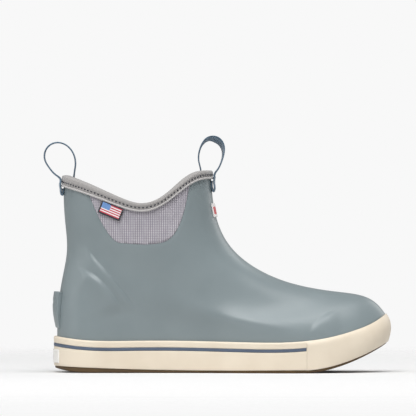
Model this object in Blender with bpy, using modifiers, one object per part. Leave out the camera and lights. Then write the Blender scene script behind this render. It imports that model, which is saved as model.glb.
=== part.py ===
"""A pull-on rubber deck boot for the right foot, about EU 42, built as its separate pieces.

Frame: +X points to the toe, +Y to the inner side of the foot and +Z up. The origin is on the
ground, under the middle of the sole. Lengths in this file are millimetres, and new_object()
turns them into metres. The boot's outer face is one surface, upper_point(turn, rise):
turn runs once round the boot, from the heel along the outer side to the toe and back along the
inner side, and rise runs from the top edge of the foxing (0) to the collar (1). Every shell,
band, tab and label is that surface, moved out or in by a named clearance.
"""
import math

import bmesh
import bpy
import numpy as np
from mathutils import Matrix

MM = 0.001
GAP = 0.3                      # clearance between neighbouring pieces

# Overall sizes
LAST_LENGTH = 288.0            # rubber upper from heel to toe, at the top edge of the foxing
COLLAR_HEIGHT = 177.3          # front point of the collar above the ground
HEEL_WIDTH = 71.0              # upper at the heel, outside
WAIST_WIDTH = 73.0             # upper at the arch
BALL_WIDTH = 99.0              # upper at the ball of the foot
TOE_WIDTH = 91.0               # width that the toe's round end starts from
ANKLE_WIDTH = 82.0             # upper across the ankle
SHAFT_WIDTH = 92.0             # upper across the collar

# Walls
RUBBER_WALL = 1.8
LINING_WALL = 2.5
STIFFENER_WALL = 1.2           # heel counter and toe puff, between rubber and lining
BOARD_THICKNESS = 2.0
FOOTBED_FRONT = 3.5
FOOTBED_HEEL = 6.0
FOOTBED_PLAY = 0.6             # footbed to lining, so that it lifts out

# Sole
LIP_HEEL = 5.8                 # outsole edge under the foxing, at the heel
LIP_WAIST = 2.5
LIP_TOE = 0.9
CORE_RISE = 3.0                # outsole's middle above its edge
FILLER_THICKNESS = 6.0
OUTSOLE_INSET = 1.0            # outsole's edge inside the foxing's face
OUTSOLE_BEVEL = (1.2, 0.35)    # its bottom edge: width, and share of the edge's height
CUP_HEIGHT = 5.0               # footbed's rim above its middle, at the heel
CUP_LENGTH = 0.62              # share of the foot's length where the rim has run out
CUP_SLOPE = 11.0               # width of the slope inside the rim
CUP_RIM = 2.2
TOE_SPRING_START = 72.0        # where the sole leaves the ground
TOE_SPRING_RISE = 24.5         # at the tip of the toe
TOE_SPRING_POWER = 1.7
HEEL_ROLL_LENGTH = 28.0
HEEL_ROLL_RISE = 3.6
TREAD_DEPTH = 2.0
TREAD_WIDTH = 2.2
TREAD_PITCH = 11.0
TREAD_WAVE = 11.0              # half a zigzag, across the sole
TREAD_AMPLITUDE = 3.5
TREAD_MARGIN = 7.0             # from the groove's end to the edge of the sole
HEEL_TREAD = (-128.0, -62.0)   # first and last groove of the heel
FORE_TREAD = (26.0, 92.0)      # first and last groove of the forefoot

# Foxing
FOXING_THICKNESS = 2.5
FOXING_SEAM_X = 72.8           # where the toe bumper starts
FOXING_FLARE = 0.3             # the face leans out by this much to its middle
TOP_ROUND = 1.6
STRIPE_DROP = 6.0              # below the top edge of the foxing
STRIPE_HEIGHT = 2.7
STRIPE_THICKNESS = 0.9
STRIPE_PROUD = 0.2
STRIPE_END = 0.004             # turn left free at each end of the stripe
BUMPER_THICKNESS = 5.3         # at the tip of the toe, at half height
BUMPER_FOOT = 2.1              # at the tip, at the bottom edge

# Plain badge on the back of the foxing
BADGE_WIDTH = 36.0
BADGE_HEIGHT = 12.0
BADGE_DROP = 11.5              # below the top edge of the foxing
BADGE_THICKNESS = 0.8

# Collar
BAND_THICKNESS = 1.4
BAND_BULGE = 0.3
BAND_ROUND = 1.2               # drop of the top edge's rounding
BAND_HEEL = 8.2                # depth of the band's outer face
BAND_DIP = 5.7
BAND_FRONT = 5.9
BAND_INSIDE = 10.0             # depth of its inner face
BAND_PLAY = 0.6                # inner face of the band to the lining
PIPING_DIAMETER = 2.0
THREAD_DIAMETER = 0.5
THREAD_PLACE = 0.74            # share of the band's depth
THREAD_PULL = 0.4              # the stitches draw the band in by this much

# Pull loops
WEB_WIDTH = 15.5
WEB_THICKNESS = 1.6
HEEL_PIVOT_DROP = 4.5          # below the collar's edge
FRONT_PIVOT_DROP = 6.0
TAIL_LENGTH = 12.5             # sewn end on the outside
INNER_TAIL_DROP = 8.0
INNER_TAIL_LENGTH = 10.0
TAIL_STEP = 2.6                # length over which a tail steps down to the wall

# Labels and kick tab
SIDE_LABEL = (19.0, 10.8, 0.8)         # width, height, thickness
SIDE_LABEL_X = -96.5
FRONT_LABEL_WIDTH = 26.0
FRONT_LABEL_Z = (136.0, 148.0)
FRONT_LABEL_THICKNESS = 0.8
GORE_RECESS = 0.3              # gore panels, inside the rubber's face
KICK_WIDTH = 27.0
KICK_Z = (39.0, 70.5)
KICK_DEPTHS = (1.0, 2.6, 3.9, 4.6, 4.2)     # standing out, from its foot to its top
KICK_CROWN = 0.35              # share of the depth that is lost towards its sides

# Profiles (x, z), drawn for a last of DRAWN_LENGTH and a collar at DRAWN_HEIGHT
DRAWN_LENGTH = 288.0
DRAWN_HEIGHT = 177.3
HEEL_PROFILE = [(-145.4, 31.9), (-145.2, 48.0), (-142.9, 70.5), (-139.3, 91.0), (-136.7, 105.0),
                (-137.3, 120.0), (-139.0, 138.0), (-139.8, 155.0), (-139.3, 173.0)]
FRONT_PROFILE = [(142.6, 51.3), (138.5, 59.3), (131.0, 65.0), (114.7, 68.4), (86.7, 72.3),
                 (50.8, 81.0), (21.1, 96.7), (4.5, 112.5), (-3.4, 128.2), (-7.4, 143.0),
                 (-9.4, 158.0), (-10.8, 177.3)]
RAND_PROFILE = [(-145.4, 31.9), (-126.0, 29.2), (-72.0, 28.2), (18.0, 27.0), (67.0, 27.6),
                (92.0, 31.0), (116.0, 37.6), (134.0, 45.5), (142.6, 51.3)]
COLLAR_PROFILE = [(-139.3, 173.0), (-118.0, 165.0), (-92.0, 154.0), (-69.4, 148.5),
                  (-49.8, 156.2), (-32.0, 170.3), (-20.0, 176.4), (-10.8, 177.3)]
GORE_PROFILE = [(-128.0, 190.0), (-115.7, 152.8), (-111.0, 141.5), (-104.4, 128.5),
                (-97.0, 118.0), (-92.6, 114.3), (-87.0, 113.2), (-55.5, 113.2), (-49.5, 115.0),
                (-44.0, 119.3), (-38.7, 127.5), (-34.6, 138.5), (-30.0, 159.0), (-25.0, 190.0)]
# Pull loops (x, z), from their pivots: up the outer leg, over and down to the inner leg's end
HEEL_LOOP_PROFILE = [(0, 0), (-4.2, 4.5), (-9.5, 10.5), (-13.4, 17.5), (-13.2, 25.0), (-8.5, 31.0),
                     (-1.8, 32.8), (6.0, 30.0), (11.8, 22.5), (13.4, 14.0), (12.6, 7.4)]
FRONT_LOOP_PROFILE = [(0, 0), (2.6, 6.0), (6.2, 14.0), (8.3, 22.5), (6.2, 30.5), (0.6, 35.2),
                      (-5.2, 35.4), (-10.8, 30.3), (-14.0, 22.0), (-14.3, 14.0), (-13.0, 7.8)]

RING_STEPS = 48
SHELL_ROWS = 14
PATCH_COLUMNS = 4

length_scale = LAST_LENGTH / DRAWN_LENGTH
height_scale = COLLAR_HEIGHT / DRAWN_HEIGHT


def spline(knots, values):
    """Natural cubic spline through the values at rising knots, as a function of the knot."""
    knots = np.asarray(knots, float)
    values = np.asarray(values, float)
    spans = np.diff(knots)
    count = len(knots)
    system = np.eye(count)
    pull = np.zeros(count)
    for i in range(1, count - 1):
        system[i, i - 1:i + 2] = spans[i - 1], 2 * (spans[i - 1] + spans[i]), spans[i]
        ahead = (values[i + 1] - values[i]) / spans[i]
        behind = (values[i] - values[i - 1]) / spans[i - 1]
        pull[i] = 6 * (ahead - behind)
    bend = np.linalg.solve(system, pull)

    def at(place):
        place = np.clip(np.asarray(place, float), knots[0], knots[-1])
        i = np.clip(np.searchsorted(knots, place) - 1, 0, count - 2)
        a = (knots[i + 1] - place) / spans[i]
        b = 1 - a
        curve = (a ** 3 - a) * bend[i] + (b ** 3 - b) * bend[i + 1]
        return a * values[i] + b * values[i + 1] + curve * spans[i] ** 2 / 6

    return at


def scaled(points):
    """Drawn profile points at the boot's own length and height."""
    return np.array(points, float) * (length_scale, height_scale)


def path_spline(points):
    """Smooth path through plane points, as functions of the share (0 to 1) of its length."""
    points = np.asarray(points, float)
    steps = np.hypot(*np.diff(points, axis=0).T)
    share = np.concatenate([[0], np.cumsum(steps)]) / steps.sum()
    return spline(share, points[:, 0]), spline(share, points[:, 1])


def height_over_x(points):
    """Smooth height as a function of x, through drawn profile points."""
    points = scaled(points)
    return spline(points[:, 0], points[:, 1])


heel_x, heel_z = path_spline(scaled(HEEL_PROFILE))
front_x, front_z = path_spline(scaled(FRONT_PROFILE))
rand_z = height_over_x(RAND_PROFILE)
collar_z = height_over_x(COLLAR_PROFILE)
heel_end, toe_end = scaled(RAND_PROFILE)[[0, -1], 0]
collar_back, collar_front = scaled(COLLAR_PROFILE)[[0, -1], 0]

# Half widths along the boot, at the foxing, across ankle and instep, and at the collar
foot_half = spline([0, 0.22, 0.45, 0.72, 0.9, 1],
                   np.array([HEEL_WIDTH, HEEL_WIDTH, WAIST_WIDTH, BALL_WIDTH, TOE_WIDTH, TOE_WIDTH]) / 2)
ankle_half = spline([0, 0.3, 0.6, 1],
                    np.array([HEEL_WIDTH, ANKLE_WIDTH - 4, ANKLE_WIDTH, BALL_WIDTH + 3]) / 2)
# Sideways place of the middle line: the arch is cut in on the inner side, the toe points to it
foot_middle = spline([0, 0.25, 0.5, 0.72, 0.9, 1], [0, -0.5, -2.5, 0, 4.5, 6.5])
# Depth, along the boot, of the round heel and toe ends, against the rise
heel_round = spline([0, 0.3, 0.6, 1], [38, 38, 50, 64.5])
toe_round = spline([0, 0.12, 0.3, 0.55, 0.75, 1], [66, 92, 128, 104, 80, 64.5])
END_POWER = 2.2


def blend(low, high, share):
    """Value between low and high, easing at both ends."""
    share = np.clip(share, 0, 1)
    share = share * share * (3 - 2 * share)
    return low + (high - low) * share


def side_patch(along, rise):
    """Side view (x, z) of the surface: a Coons patch of the four profiles."""
    x = ((1 - rise) * (heel_end + (toe_end - heel_end) * along)
         + rise * (collar_back + (collar_front - collar_back) * along)
         + (1 - along) * heel_x(rise) + along * front_x(rise)
         - (1 - along) * ((1 - rise) * heel_end + rise * collar_back)
         - along * ((1 - rise) * toe_end + rise * collar_front))
    low = rand_z(heel_end + (toe_end - heel_end) * along)
    high = collar_z(collar_back + (collar_front - collar_back) * along)
    z = ((1 - rise) * low + rise * high + (1 - along) * heel_z(rise) + along * front_z(rise)
         - (1 - along) * ((1 - rise) * heel_z(0) + rise * heel_z(1))
         - along * ((1 - rise) * front_z(0) + rise * front_z(1)))
    return x, z


def end_factor(distance, depth):
    """Share of the full width at a distance from a round end of the given depth."""
    inside = 1 - np.clip(distance / depth, 0, 1)
    return np.sqrt(np.clip(1 - inside ** END_POWER, 0, 1))


def upper_point(turn, rise):
    """Point of the upper's outer face; turn 0 is the heel, pi the toe, the outer side between."""
    turn, rise = np.broadcast_arrays(np.asarray(turn, float), np.asarray(rise, float))
    along = (1 - np.cos(turn)) / 2
    x, z = side_patch(along, rise)
    span = np.hypot(front_x(rise) - heel_x(rise), front_z(rise) - heel_z(rise))
    low = foot_half(along)
    middle = ankle_half(along)
    half = np.where(rise < 0.5, blend(low, middle, rise / 0.5),
                    blend(middle, SHAFT_WIDTH / 2, (rise - 0.5) / 0.5))
    half = half * end_factor(along * span, np.minimum(heel_round(rise) * length_scale, span / 2))
    half = half * end_factor((1 - along) * span, np.minimum(toe_round(rise) * length_scale, span / 2))
    centre = foot_middle(along) * blend(1, 0, rise / 0.6)
    y = centre - np.sign(np.sin(turn)) * half
    return np.stack([x, y, z], axis=-1)


def unit(vectors):
    """Vectors at length 1."""
    return vectors / np.linalg.norm(vectors, axis=-1, keepdims=True)


def upper_normal(turn, rise):
    """Outward direction of the surface, from small steps both ways."""
    turn, rise = np.broadcast_arrays(np.asarray(turn, float), np.asarray(rise, float))
    step = 0.002
    around = upper_point(turn + step, rise) - upper_point(turn - step, rise)
    up = upper_point(turn, np.minimum(rise + step, 1)) - upper_point(turn, np.maximum(rise - step, 0))
    return unit(np.cross(around, up))


def level_normal(turn):
    """Outward direction of the foxing line, level with the ground."""
    flat = upper_normal(turn, 0.0) * (1, 1, 0)
    return unit(flat)


def wall_point(turn, rise, offset):
    """Point at an offset from the outer face. A rise below 0 is the straight skirt that the
    foxing covers: -1 is its bottom edge, which stands on the filler."""
    turn, rise, offset = np.broadcast_arrays(turn, rise, offset)
    on_wall = upper_point(turn, np.maximum(rise, 0))
    lean = np.where(rise[..., None] > 0, upper_normal(turn, np.maximum(rise, 0)), 0)
    edge = unit(upper_normal(turn, 0.0) + level_normal(turn))
    lean = np.where(rise[..., None] == 0, edge, lean)
    lean = np.where(rise[..., None] < 0, level_normal(turn), lean)
    point = on_wall + lean * offset[..., None]
    foot = feather_z(point[..., 0])
    z = np.where(rise < 0, point[..., 2] + (foot - point[..., 2]) * -rise, point[..., 2])
    return np.stack([point[..., 0], point[..., 1], z], axis=-1)


def drop_rise(turn, drop):
    """Rise of the line that runs a given drop below the collar's edge."""
    step = 0.004
    span = upper_point(turn, 1.0) - upper_point(turn, 1.0 - step)
    return 1 - drop * step / np.linalg.norm(span, axis=-1)


def outline(turn, offset):
    """Plan outline of the sole, at an offset from the upper."""
    return upper_point(turn, 0.0)[..., :2] + level_normal(turn)[..., :2] * np.asarray(offset)[..., None]


# Heights of the sole's layers, over x
lip_height = spline([heel_end, -72 * length_scale, 20 * length_scale, 85 * length_scale, toe_end],
                    [LIP_HEEL, LIP_WAIST + 0.6, LIP_WAIST - 0.2, LIP_WAIST, LIP_TOE])


def spring_z(x):
    """Height of the ground line: level, rising to the toe."""
    start = TOE_SPRING_START * length_scale
    ahead = np.clip((x - start) / (toe_end - start), 0, 1.1)
    return TOE_SPRING_RISE * ahead ** TOE_SPRING_POWER


def ground_z(x):
    """Underside of the outsole, with the rolled back edge of the heel."""
    behind = np.clip((heel_end + HEEL_ROLL_LENGTH - x) / HEEL_ROLL_LENGTH, 0, 1)
    return spring_z(x) + HEEL_ROLL_RISE * behind ** 2


def foxing_z(x):
    """Bottom edge of the foxing."""
    return spring_z(x) + lip_height(x)


def filler_z(x):
    """Underside of the filler."""
    return foxing_z(x) + CORE_RISE + GAP


def feather_z(x):
    """Bottom edge of upper, lining and board."""
    return filler_z(x) + FILLER_THICKNESS + GAP


# Shared ring of turns: even steps, with the two nearest moved onto the foxing's seams
seam_turn = math.acos(1 - 2 * (FOXING_SEAM_X * length_scale - heel_end) / (toe_end - heel_end))
ring_turns = np.arange(RING_STEPS) * 2 * math.pi / RING_STEPS
seam_step = int(round(seam_turn / (2 * math.pi) * RING_STEPS))
ring_turns[seam_step] = seam_turn
ring_turns[RING_STEPS - seam_step] = 2 * math.pi - seam_turn

scene = bpy.context.scene
boot_parts = bpy.data.collections.new("deck_boot")
cutters = bpy.data.collections.new("cutters")


def clear_scene():
    """Remove what the scene holds and link the two collections."""
    for item in list(bpy.data.objects):
        bpy.data.objects.remove(item)
    scene.collection.children.link(boot_parts)
    scene.collection.children.link(cutters)


def material(name, colour, roughness, metallic=0.0):
    """Principled material with one colour."""
    made = bpy.data.materials.new(name)
    made.use_nodes = True
    shader = made.node_tree.nodes["Principled BSDF"]
    shader.inputs["Base Color"].default_value = (*colour, 1)
    shader.inputs["Roughness"].default_value = roughness
    shader.inputs["Metallic"].default_value = metallic
    return made


MATERIALS = {
    "grey_rubber": ((0.22, 0.26, 0.27), 0.35),
    "inner_rubber": ((0.08, 0.08, 0.08), 0.7),
    "white_rubber": ((0.78, 0.69, 0.56), 0.5),
    "badge_rubber": ((0.85, 0.84, 0.82), 0.4),
    "blue_rubber": ((0.10, 0.14, 0.24), 0.5),
    "gum_rubber": ((0.20, 0.13, 0.05), 0.6),
    "lining_foam": ((0.05, 0.06, 0.07), 0.9),
    "gore_mesh": ((0.33, 0.31, 0.35), 0.9),
    "collar_fabric": ((0.43, 0.42, 0.41), 0.9),
    "piping_fabric": ((0.58, 0.56, 0.55), 0.8),
    "thread": ((0.03, 0.03, 0.04), 0.7),
    "loop_webbing": ((0.09, 0.15, 0.21), 0.8),
    "filler_foam": ((0.5, 0.5, 0.48), 0.9),
    "board": ((0.45, 0.36, 0.25), 0.9),
    "footbed_foam": ((0.08, 0.12, 0.17), 0.9),
    "woven_label": ((0.75, 0.74, 0.72), 0.8),
}


def new_object(name, points, faces, finish, matrix=None):
    """Closed mesh object from points in millimetres, its faces turned outwards."""
    mesh = bpy.data.meshes.new(name)
    mesh.from_pydata((np.asarray(points).reshape(-1, 3) * MM).tolist(), [], faces)
    shape = bmesh.new()
    shape.from_mesh(mesh)
    bmesh.ops.recalc_face_normals(shape, faces=shape.faces)
    shape.to_mesh(mesh)
    shape.free()
    mesh.shade_smooth()
    mesh.set_sharp_from_angle(angle=math.radians(35))
    made = bpy.data.objects.new(name, mesh)
    made.data.materials.append(bpy.data.materials[finish])
    boot_parts.objects.link(made)
    if matrix is not None:
        made.matrix_world = matrix
    return made


def grid_faces(rows, columns, close_rows=False, close_columns=False, start=0):
    """Quads of a grid of points, row by row."""
    faces = []
    for r in range(rows if close_rows else rows - 1):
        for c in range(columns if close_columns else columns - 1):
            r2 = (r + 1) % rows
            c2 = (c + 1) % columns
            faces.append((start + r * columns + c, start + r * columns + c2,
                          start + r2 * columns + c2, start + r2 * columns + c))
    return faces


def open_shell(name, points, finish, thickness, closed):
    """Grid surface that Solidify thickens inwards."""
    rows, columns = points.shape[:2]
    shell = new_object(name, points, grid_faces(rows, columns, close_columns=closed), finish)
    wall = shell.modifiers.new("wall", "SOLIDIFY")
    wall.thickness = thickness * MM
    wall.offset = -1
    wall.use_even_offset = True
    return shell


def between(name, inner, outer, finish):
    """Closed solid between two grids of the same shape."""
    rows, columns = inner.shape[:2]
    count = rows * columns
    faces = grid_faces(rows, columns) + grid_faces(rows, columns, start=count)
    edge = ([(0, c) for c in range(columns)] + [(r, columns - 1) for r in range(1, rows)]
            + [(rows - 1, c) for c in range(columns - 2, -1, -1)] + [(r, 0) for r in range(rows - 2, 0, -1)])
    loop = [r * columns + c for r, c in edge]
    for a, b in zip(loop, loop[1:] + loop[:1]):
        faces.append((a, b, count + b, count + a))
    return new_object(name, np.concatenate([inner.reshape(-1, 3), outer.reshape(-1, 3)]), faces, finish)


def bar(name, sections, finish):
    """Solid lofted through closed sections, with its two ends capped."""
    rows, columns = sections.shape[:2]
    faces = grid_faces(rows, columns, close_columns=True)
    faces.append(tuple(range(columns)))
    faces.append(tuple(range((rows - 1) * columns, rows * columns)))
    return new_object(name, sections, faces, finish)


def hoop(name, sections, finish):
    """Solid lofted through closed sections and back to the first."""
    rows, columns = sections.shape[:2]
    return new_object(name, sections, grid_faces(rows, columns, True, True), finish)


def slab(name, rings, finish):
    """Solid lofted up through rings of the sole, with level strips across bottom and top."""
    rings = np.asarray(rings)
    rows, columns = rings.shape[:2]
    faces = grid_faces(rows, columns, close_columns=True)
    half = columns // 2
    for start in (0, (rows - 1) * columns):
        for i in range(half):
            a, b = start + i, start + i + 1
            c, d = start + (columns - i - 1), start + (columns - i) % columns
            faces.append(tuple(dict.fromkeys((a, b, c, d))))
    return new_object(name, rings, faces, finish)


def sole_ring(offset, height, turns=ring_turns):
    """Ring of the sole at an offset, with its height a function of x."""
    plan = outline(turns, np.broadcast_to(offset, turns.shape))
    return np.column_stack([plan, height(plan[:, 0])])


def rows_up(bottom, count, top):
    """Rises from the skirt's bottom edge to the top line, closer together low down."""
    shares = np.linspace(0, 1, count) ** 1.25
    skirt = [np.full_like(top, bottom), np.full_like(top, bottom / 2)]
    return np.array(skirt + [top * share for share in shares])


def hide_cutter(cutter):
    """Keep a cutter out of the render and out of the parts."""
    boot_parts.objects.unlink(cutter)
    cutters.objects.link(cutter)
    cutter.hide_render = True
    cutter.display_type = "WIRE"


def gore_cutter(name, inset):
    """Prism across the boot with the gore's outline, made smaller by the inset."""
    points = scaled(GORE_PROFILE)
    middle = points.mean(axis=0)
    before = np.roll(points, 1, axis=0)
    after = np.roll(points, -1, axis=0)
    normal = unit(np.column_stack([after[:, 1] - before[:, 1], before[:, 0] - after[:, 0]]))
    towards = np.sign(np.sum(normal * (middle - points), axis=1))[:, None]
    points = points + normal * towards * inset
    reach = SHAFT_WIDTH
    sections = [np.column_stack([points[:, 0], np.full(len(points), y), points[:, 1]])
                for y in (-reach, reach)]
    cutter = bar(name, np.array(sections), "grey_rubber")
    hide_cutter(cutter)
    return cutter


def cut(target, cutter, operation):
    """Boolean modifier on target."""
    step = target.modifiers.new(cutter.name, "BOOLEAN")
    step.object = cutter
    step.operation = operation
    step.solver = "EXACT"


SHELL_TOP = BAND_THICKNESS + GAP          # top edges of upper and lining, below the collar's edge
LINING_OUTSIDE = RUBBER_WALL + GAP + 0.1
LINING_FOOT = RUBBER_WALL + GAP + STIFFENER_WALL + 2 * GAP
LINING_INSIDE = LINING_OUTSIDE + LINING_WALL


def lining_offset(rise):
    """Depth of the lining's outer face: deeper round the foot, where the stiffeners lie."""
    return blend(LINING_FOOT, LINING_OUTSIDE, (rise - 0.32) / 0.18)


def make_upper():
    """Rubber upper: one moulded shell with a gore window on each side."""
    top = drop_rise(ring_turns, SHELL_TOP)
    rises = rows_up(-1.0, SHELL_ROWS, top)
    upper = open_shell("rubber_upper", wall_point(ring_turns, rises, 0.0), "grey_rubber", RUBBER_WALL, True)
    cut(upper, gore_cutter("gore_window", 0.0), "DIFFERENCE")


def make_lining():
    """Foam lining: a sock with its bottom open on the board."""
    top = drop_rise(ring_turns, SHELL_TOP)
    rises = rows_up(-1.0, SHELL_ROWS, top)
    points = wall_point(ring_turns, rises, -lining_offset(rises))
    open_shell("lining", points, "lining_foam", LINING_WALL, True)


def make_gores():
    """Stretch panels that fill the windows, flush with the wall."""
    cutter = gore_cutter("gore_edge", GAP)
    lateral = ring_turns[4:RING_STEPS // 2 - 2]
    for name, turns in (("gore_panel_lateral", lateral), ("gore_panel_medial", 2 * math.pi - lateral[::-1])):
        top = drop_rise(turns, SHELL_TOP)
        rises = np.linspace(0.5, 1, 6)[:, None] * top
        outer = wall_point(turns, rises, -GORE_RECESS)
        inner = wall_point(turns, rises, -RUBBER_WALL)
        cut(between(name, inner, outer, "gore_mesh"), cutter, "INTERSECT")


def make_stiffeners():
    """Heel counter and toe puff, between rubber and lining, on the shells' own rows."""
    outside = -(RUBBER_WALL + GAP)
    rises = rows_up(-1.0, SHELL_ROWS, drop_rise(ring_turns, SHELL_TOP))
    for name, middle, reach, rows in (("heel_counter", 0, 8, 8), ("toe_puff", RING_STEPS // 2, 6, 6)):
        steps = np.arange(middle - reach, middle + reach + 1) % RING_STEPS
        outer = wall_point(ring_turns[steps], rises[:rows, steps], outside)
        inner = wall_point(ring_turns[steps], rises[:rows, steps], outside - STIFFENER_WALL)
        between(name, inner, outer, "inner_rubber")


def make_sole():
    """Outsole, filler, lasting board and footbed, from the ground up."""
    face = GAP + FOXING_THICKNESS
    sole_edge = outsole_edge(ring_turns)
    bevel, share = OUTSOLE_BEVEL
    outsole = slab("outsole", [
        sole_ring(sole_edge - bevel, ground_z),
        sole_ring(sole_edge, lambda x: ground_z(x) + share * (foxing_z(x) - GAP - ground_z(x))),
        sole_ring(sole_edge, lambda x: foxing_z(x) - GAP),
        sole_ring(0.0, lambda x: foxing_z(x) - GAP),
        sole_ring(0.0, lambda x: foxing_z(x) + CORE_RISE),
    ], "gum_rubber")
    cut(outsole, make_tread(face), "DIFFERENCE")
    slab("midsole_filler", [sole_ring(0.0, filler_z),
                            sole_ring(0.0, lambda x: filler_z(x) + FILLER_THICKNESS)], "filler_foam")
    inside = -(LINING_FOOT + LINING_WALL + GAP)
    slab("lasting_board", [sole_ring(inside, feather_z),
                           sole_ring(inside, lambda x: feather_z(x) + BOARD_THICKNESS)], "board")
    edge = inside + GAP - FOOTBED_PLAY

    def under(x):
        return feather_z(x) + BOARD_THICKNESS + GAP

    def thickness(x):
        return blend(FOOTBED_HEEL, FOOTBED_FRONT, (x - heel_end) / (toe_end - heel_end))

    def cup(x):
        forward = np.clip((x - heel_end) / (CUP_LENGTH * (toe_end - heel_end)), 0, 1)
        return CUP_HEIGHT * (1 - forward ** 2)

    slab("footbed", [sole_ring(edge - 1.0, under), sole_ring(edge, lambda x: under(x) + 1.0),
                     sole_ring(edge - 0.2, lambda x: under(x) + thickness(x) + cup(x)),
                     sole_ring(edge - CUP_RIM, lambda x: under(x) + thickness(x) + cup(x)),
                     sole_ring(edge - CUP_SLOPE, lambda x: under(x) + thickness(x))], "footbed_foam")


def toe_share(turns):
    """0 at the foxing's seams, 1 at the tip of the toe."""
    along = (1 - np.cos(turns)) / 2
    seam = (1 - math.cos(seam_turn)) / 2
    return blend(0, 1, (along - seam) / (1 - seam))


def outsole_edge(turns):
    """Offset of the outsole's edge, just inside the face of the foxing and the bumper."""
    foot = FOXING_THICKNESS + (BUMPER_FOOT - FOXING_THICKNESS) * toe_share(turns)
    return GAP + foot - OUTSOLE_INSET


def make_tread(face):
    """Zigzag grooves across heel and forefoot; the arch between them stays flat."""
    points = []
    faces = []
    for first, last in (HEEL_TREAD, FORE_TREAD):
        count = int(round((last - first) / TREAD_PITCH)) + 1
        for x in np.linspace(first, last, count) * length_scale:
            add_groove(x, face, points, faces)
    cutter = new_object("tread_grooves", np.array(points), faces, "gum_rubber")
    hide_cutter(cutter)
    return cutter


def add_groove(x, face, points, faces):
    """One zigzag prism, ending a margin inside the sole's edge."""
    along = (x - heel_end) / (toe_end - heel_end)
    turn = math.acos(1 - 2 * along)
    left = float(upper_point(turn, 0.0)[1]) - face + TREAD_MARGIN
    right = float(upper_point(-turn, 0.0)[1]) + face - TREAD_MARGIN
    steps = max(2, int(round((right - left) / TREAD_WAVE)))
    ys = np.linspace(left, right, steps + 1)
    wave = TREAD_AMPLITUDE * np.where(np.arange(steps + 1) % 2, 1, -1)
    start = len(points)
    for y, shift in zip(ys, wave):
        for side in (-0.5, 0.5):
            at = x + shift + side * TREAD_WIDTH
            points.append((at, y, ground_z(at) - 1.0))
            points.append((at, y, ground_z(at) + TREAD_DEPTH))
    rows = len(ys)
    order = (0, 1, 3, 2)
    for r in range(rows - 1):
        for i in range(4):
            a, b = order[i], order[(i + 1) % 4]
            faces.append((start + 4 * r + a, start + 4 * r + b, start + 4 * r + 4 + b, start + 4 * r + 4 + a))
    faces.append(tuple(start + i for i in order))
    faces.append(tuple(start + 4 * (rows - 1) + i for i in order))


def make_foxing():
    """White band round heel and sides, with its inlaid stripe."""
    back = np.concatenate([ring_turns[RING_STEPS - seam_step:] - 2 * math.pi, ring_turns[:seam_step + 1]])
    plan = outline(back, np.zeros(len(back)))
    top = rand_z(plan[:, 0])
    foot = foxing_z(plan[:, 0])
    face = GAP + FOXING_THICKNESS
    groove_top = top - STRIPE_DROP + GAP
    groove_foot = top - STRIPE_DROP - STRIPE_HEIGHT - GAP
    groove_face = face + STRIPE_PROUD - STRIPE_THICKNESS - GAP
    section = [(GAP, foxing_z), (face - FOXING_FLARE, foxing_z), (face, (foot + groove_foot) / 2),
               (face, groove_foot), (groove_face, groove_foot), (groove_face, groove_top), (face, groove_top),
               (face, top - TOP_ROUND), (face - 0.3 * TOP_ROUND, top - 0.35 * TOP_ROUND),
               (face - TOP_ROUND, top), (GAP, top)]
    bar("foxing_band", section_rows(back, section), "white_rubber")
    ends = np.array(back)
    ends[0] += STRIPE_END
    ends[-1] -= STRIPE_END
    stripe_foot = top - STRIPE_DROP - STRIPE_HEIGHT
    stripe_top = top - STRIPE_DROP
    stripe = [(groove_face + GAP, stripe_foot), (face + STRIPE_PROUD, stripe_foot),
              (face + STRIPE_PROUD, stripe_top), (groove_face + GAP, stripe_top)]
    bar("foxing_stripe", section_rows(ends, stripe), "blue_rubber")


def make_bumper():
    """Thick front end of the foxing, round the toe."""
    face = GAP + FOXING_THICKNESS
    front = np.array(ring_turns[seam_step:RING_STEPS - seam_step + 1])
    seam_gap = GAP / (0.5 * (toe_end - heel_end) * math.sin(seam_turn))
    front[0] += seam_gap
    front[-1] -= seam_gap
    plan = outline(front, np.zeros(len(front)))
    top = rand_z(plan[:, 0])
    foot = foxing_z(plan[:, 0])
    toe = toe_share(front)
    foot_offset = face - FOXING_FLARE + (GAP + BUMPER_FOOT - face + FOXING_FLARE) * toe
    section = [(GAP, foxing_z), (foot_offset, foxing_z)]
    for height, side, tip in ((0.25, face, 0.82 * BUMPER_THICKNESS),
                              (0.5, face, BUMPER_THICKNESS), (0.75, face, 0.85 * BUMPER_THICKNESS),
                              (0.92, face - 0.2, 0.5 * BUMPER_THICKNESS), (1.0, face - TOP_ROUND, GAP + 0.9)):
        section.append((side + (tip - side) * toe, foot + (top - foot) * height))
    section.append((GAP, top))
    bar("toe_bumper", section_rows(front, section), "white_rubber")


def make_badge():
    """Plain white plate on the back of the foxing, under the stripe."""
    turns = turns_across(0.0, 0.0, BADGE_WIDTH, 8)
    near = GAP + FOXING_THICKNESS + GAP
    plan = outline(turns, np.zeros(len(turns)))
    top = rand_z(plan[:, 0]) - BADGE_DROP
    rows = [(near, top - BADGE_HEIGHT), (near + BADGE_THICKNESS, top - BADGE_HEIGHT),
            (near + BADGE_THICKNESS, top), (near, top)]
    bar("heel_badge", section_rows(turns, rows), "badge_rubber")


def section_rows(turns, section):
    """Sections of a band round the sole: each point is an offset, and a height per turn or
    as a function of x."""
    columns = []
    for offset, height in section:
        plan = outline(turns, np.broadcast_to(offset, turns.shape))
        columns.append(np.column_stack([plan, height(plan[:, 0]) if callable(height) else height]))
    return np.stack(columns, axis=1)


def band_depth(turns):
    """Depth of the collar band's outer face: least at the dip on each side."""
    along = (1 - np.cos(turns)) / 2
    return spline([0, 0.5, 1], [BAND_HEEL, BAND_DIP, BAND_FRONT])(along)


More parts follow.
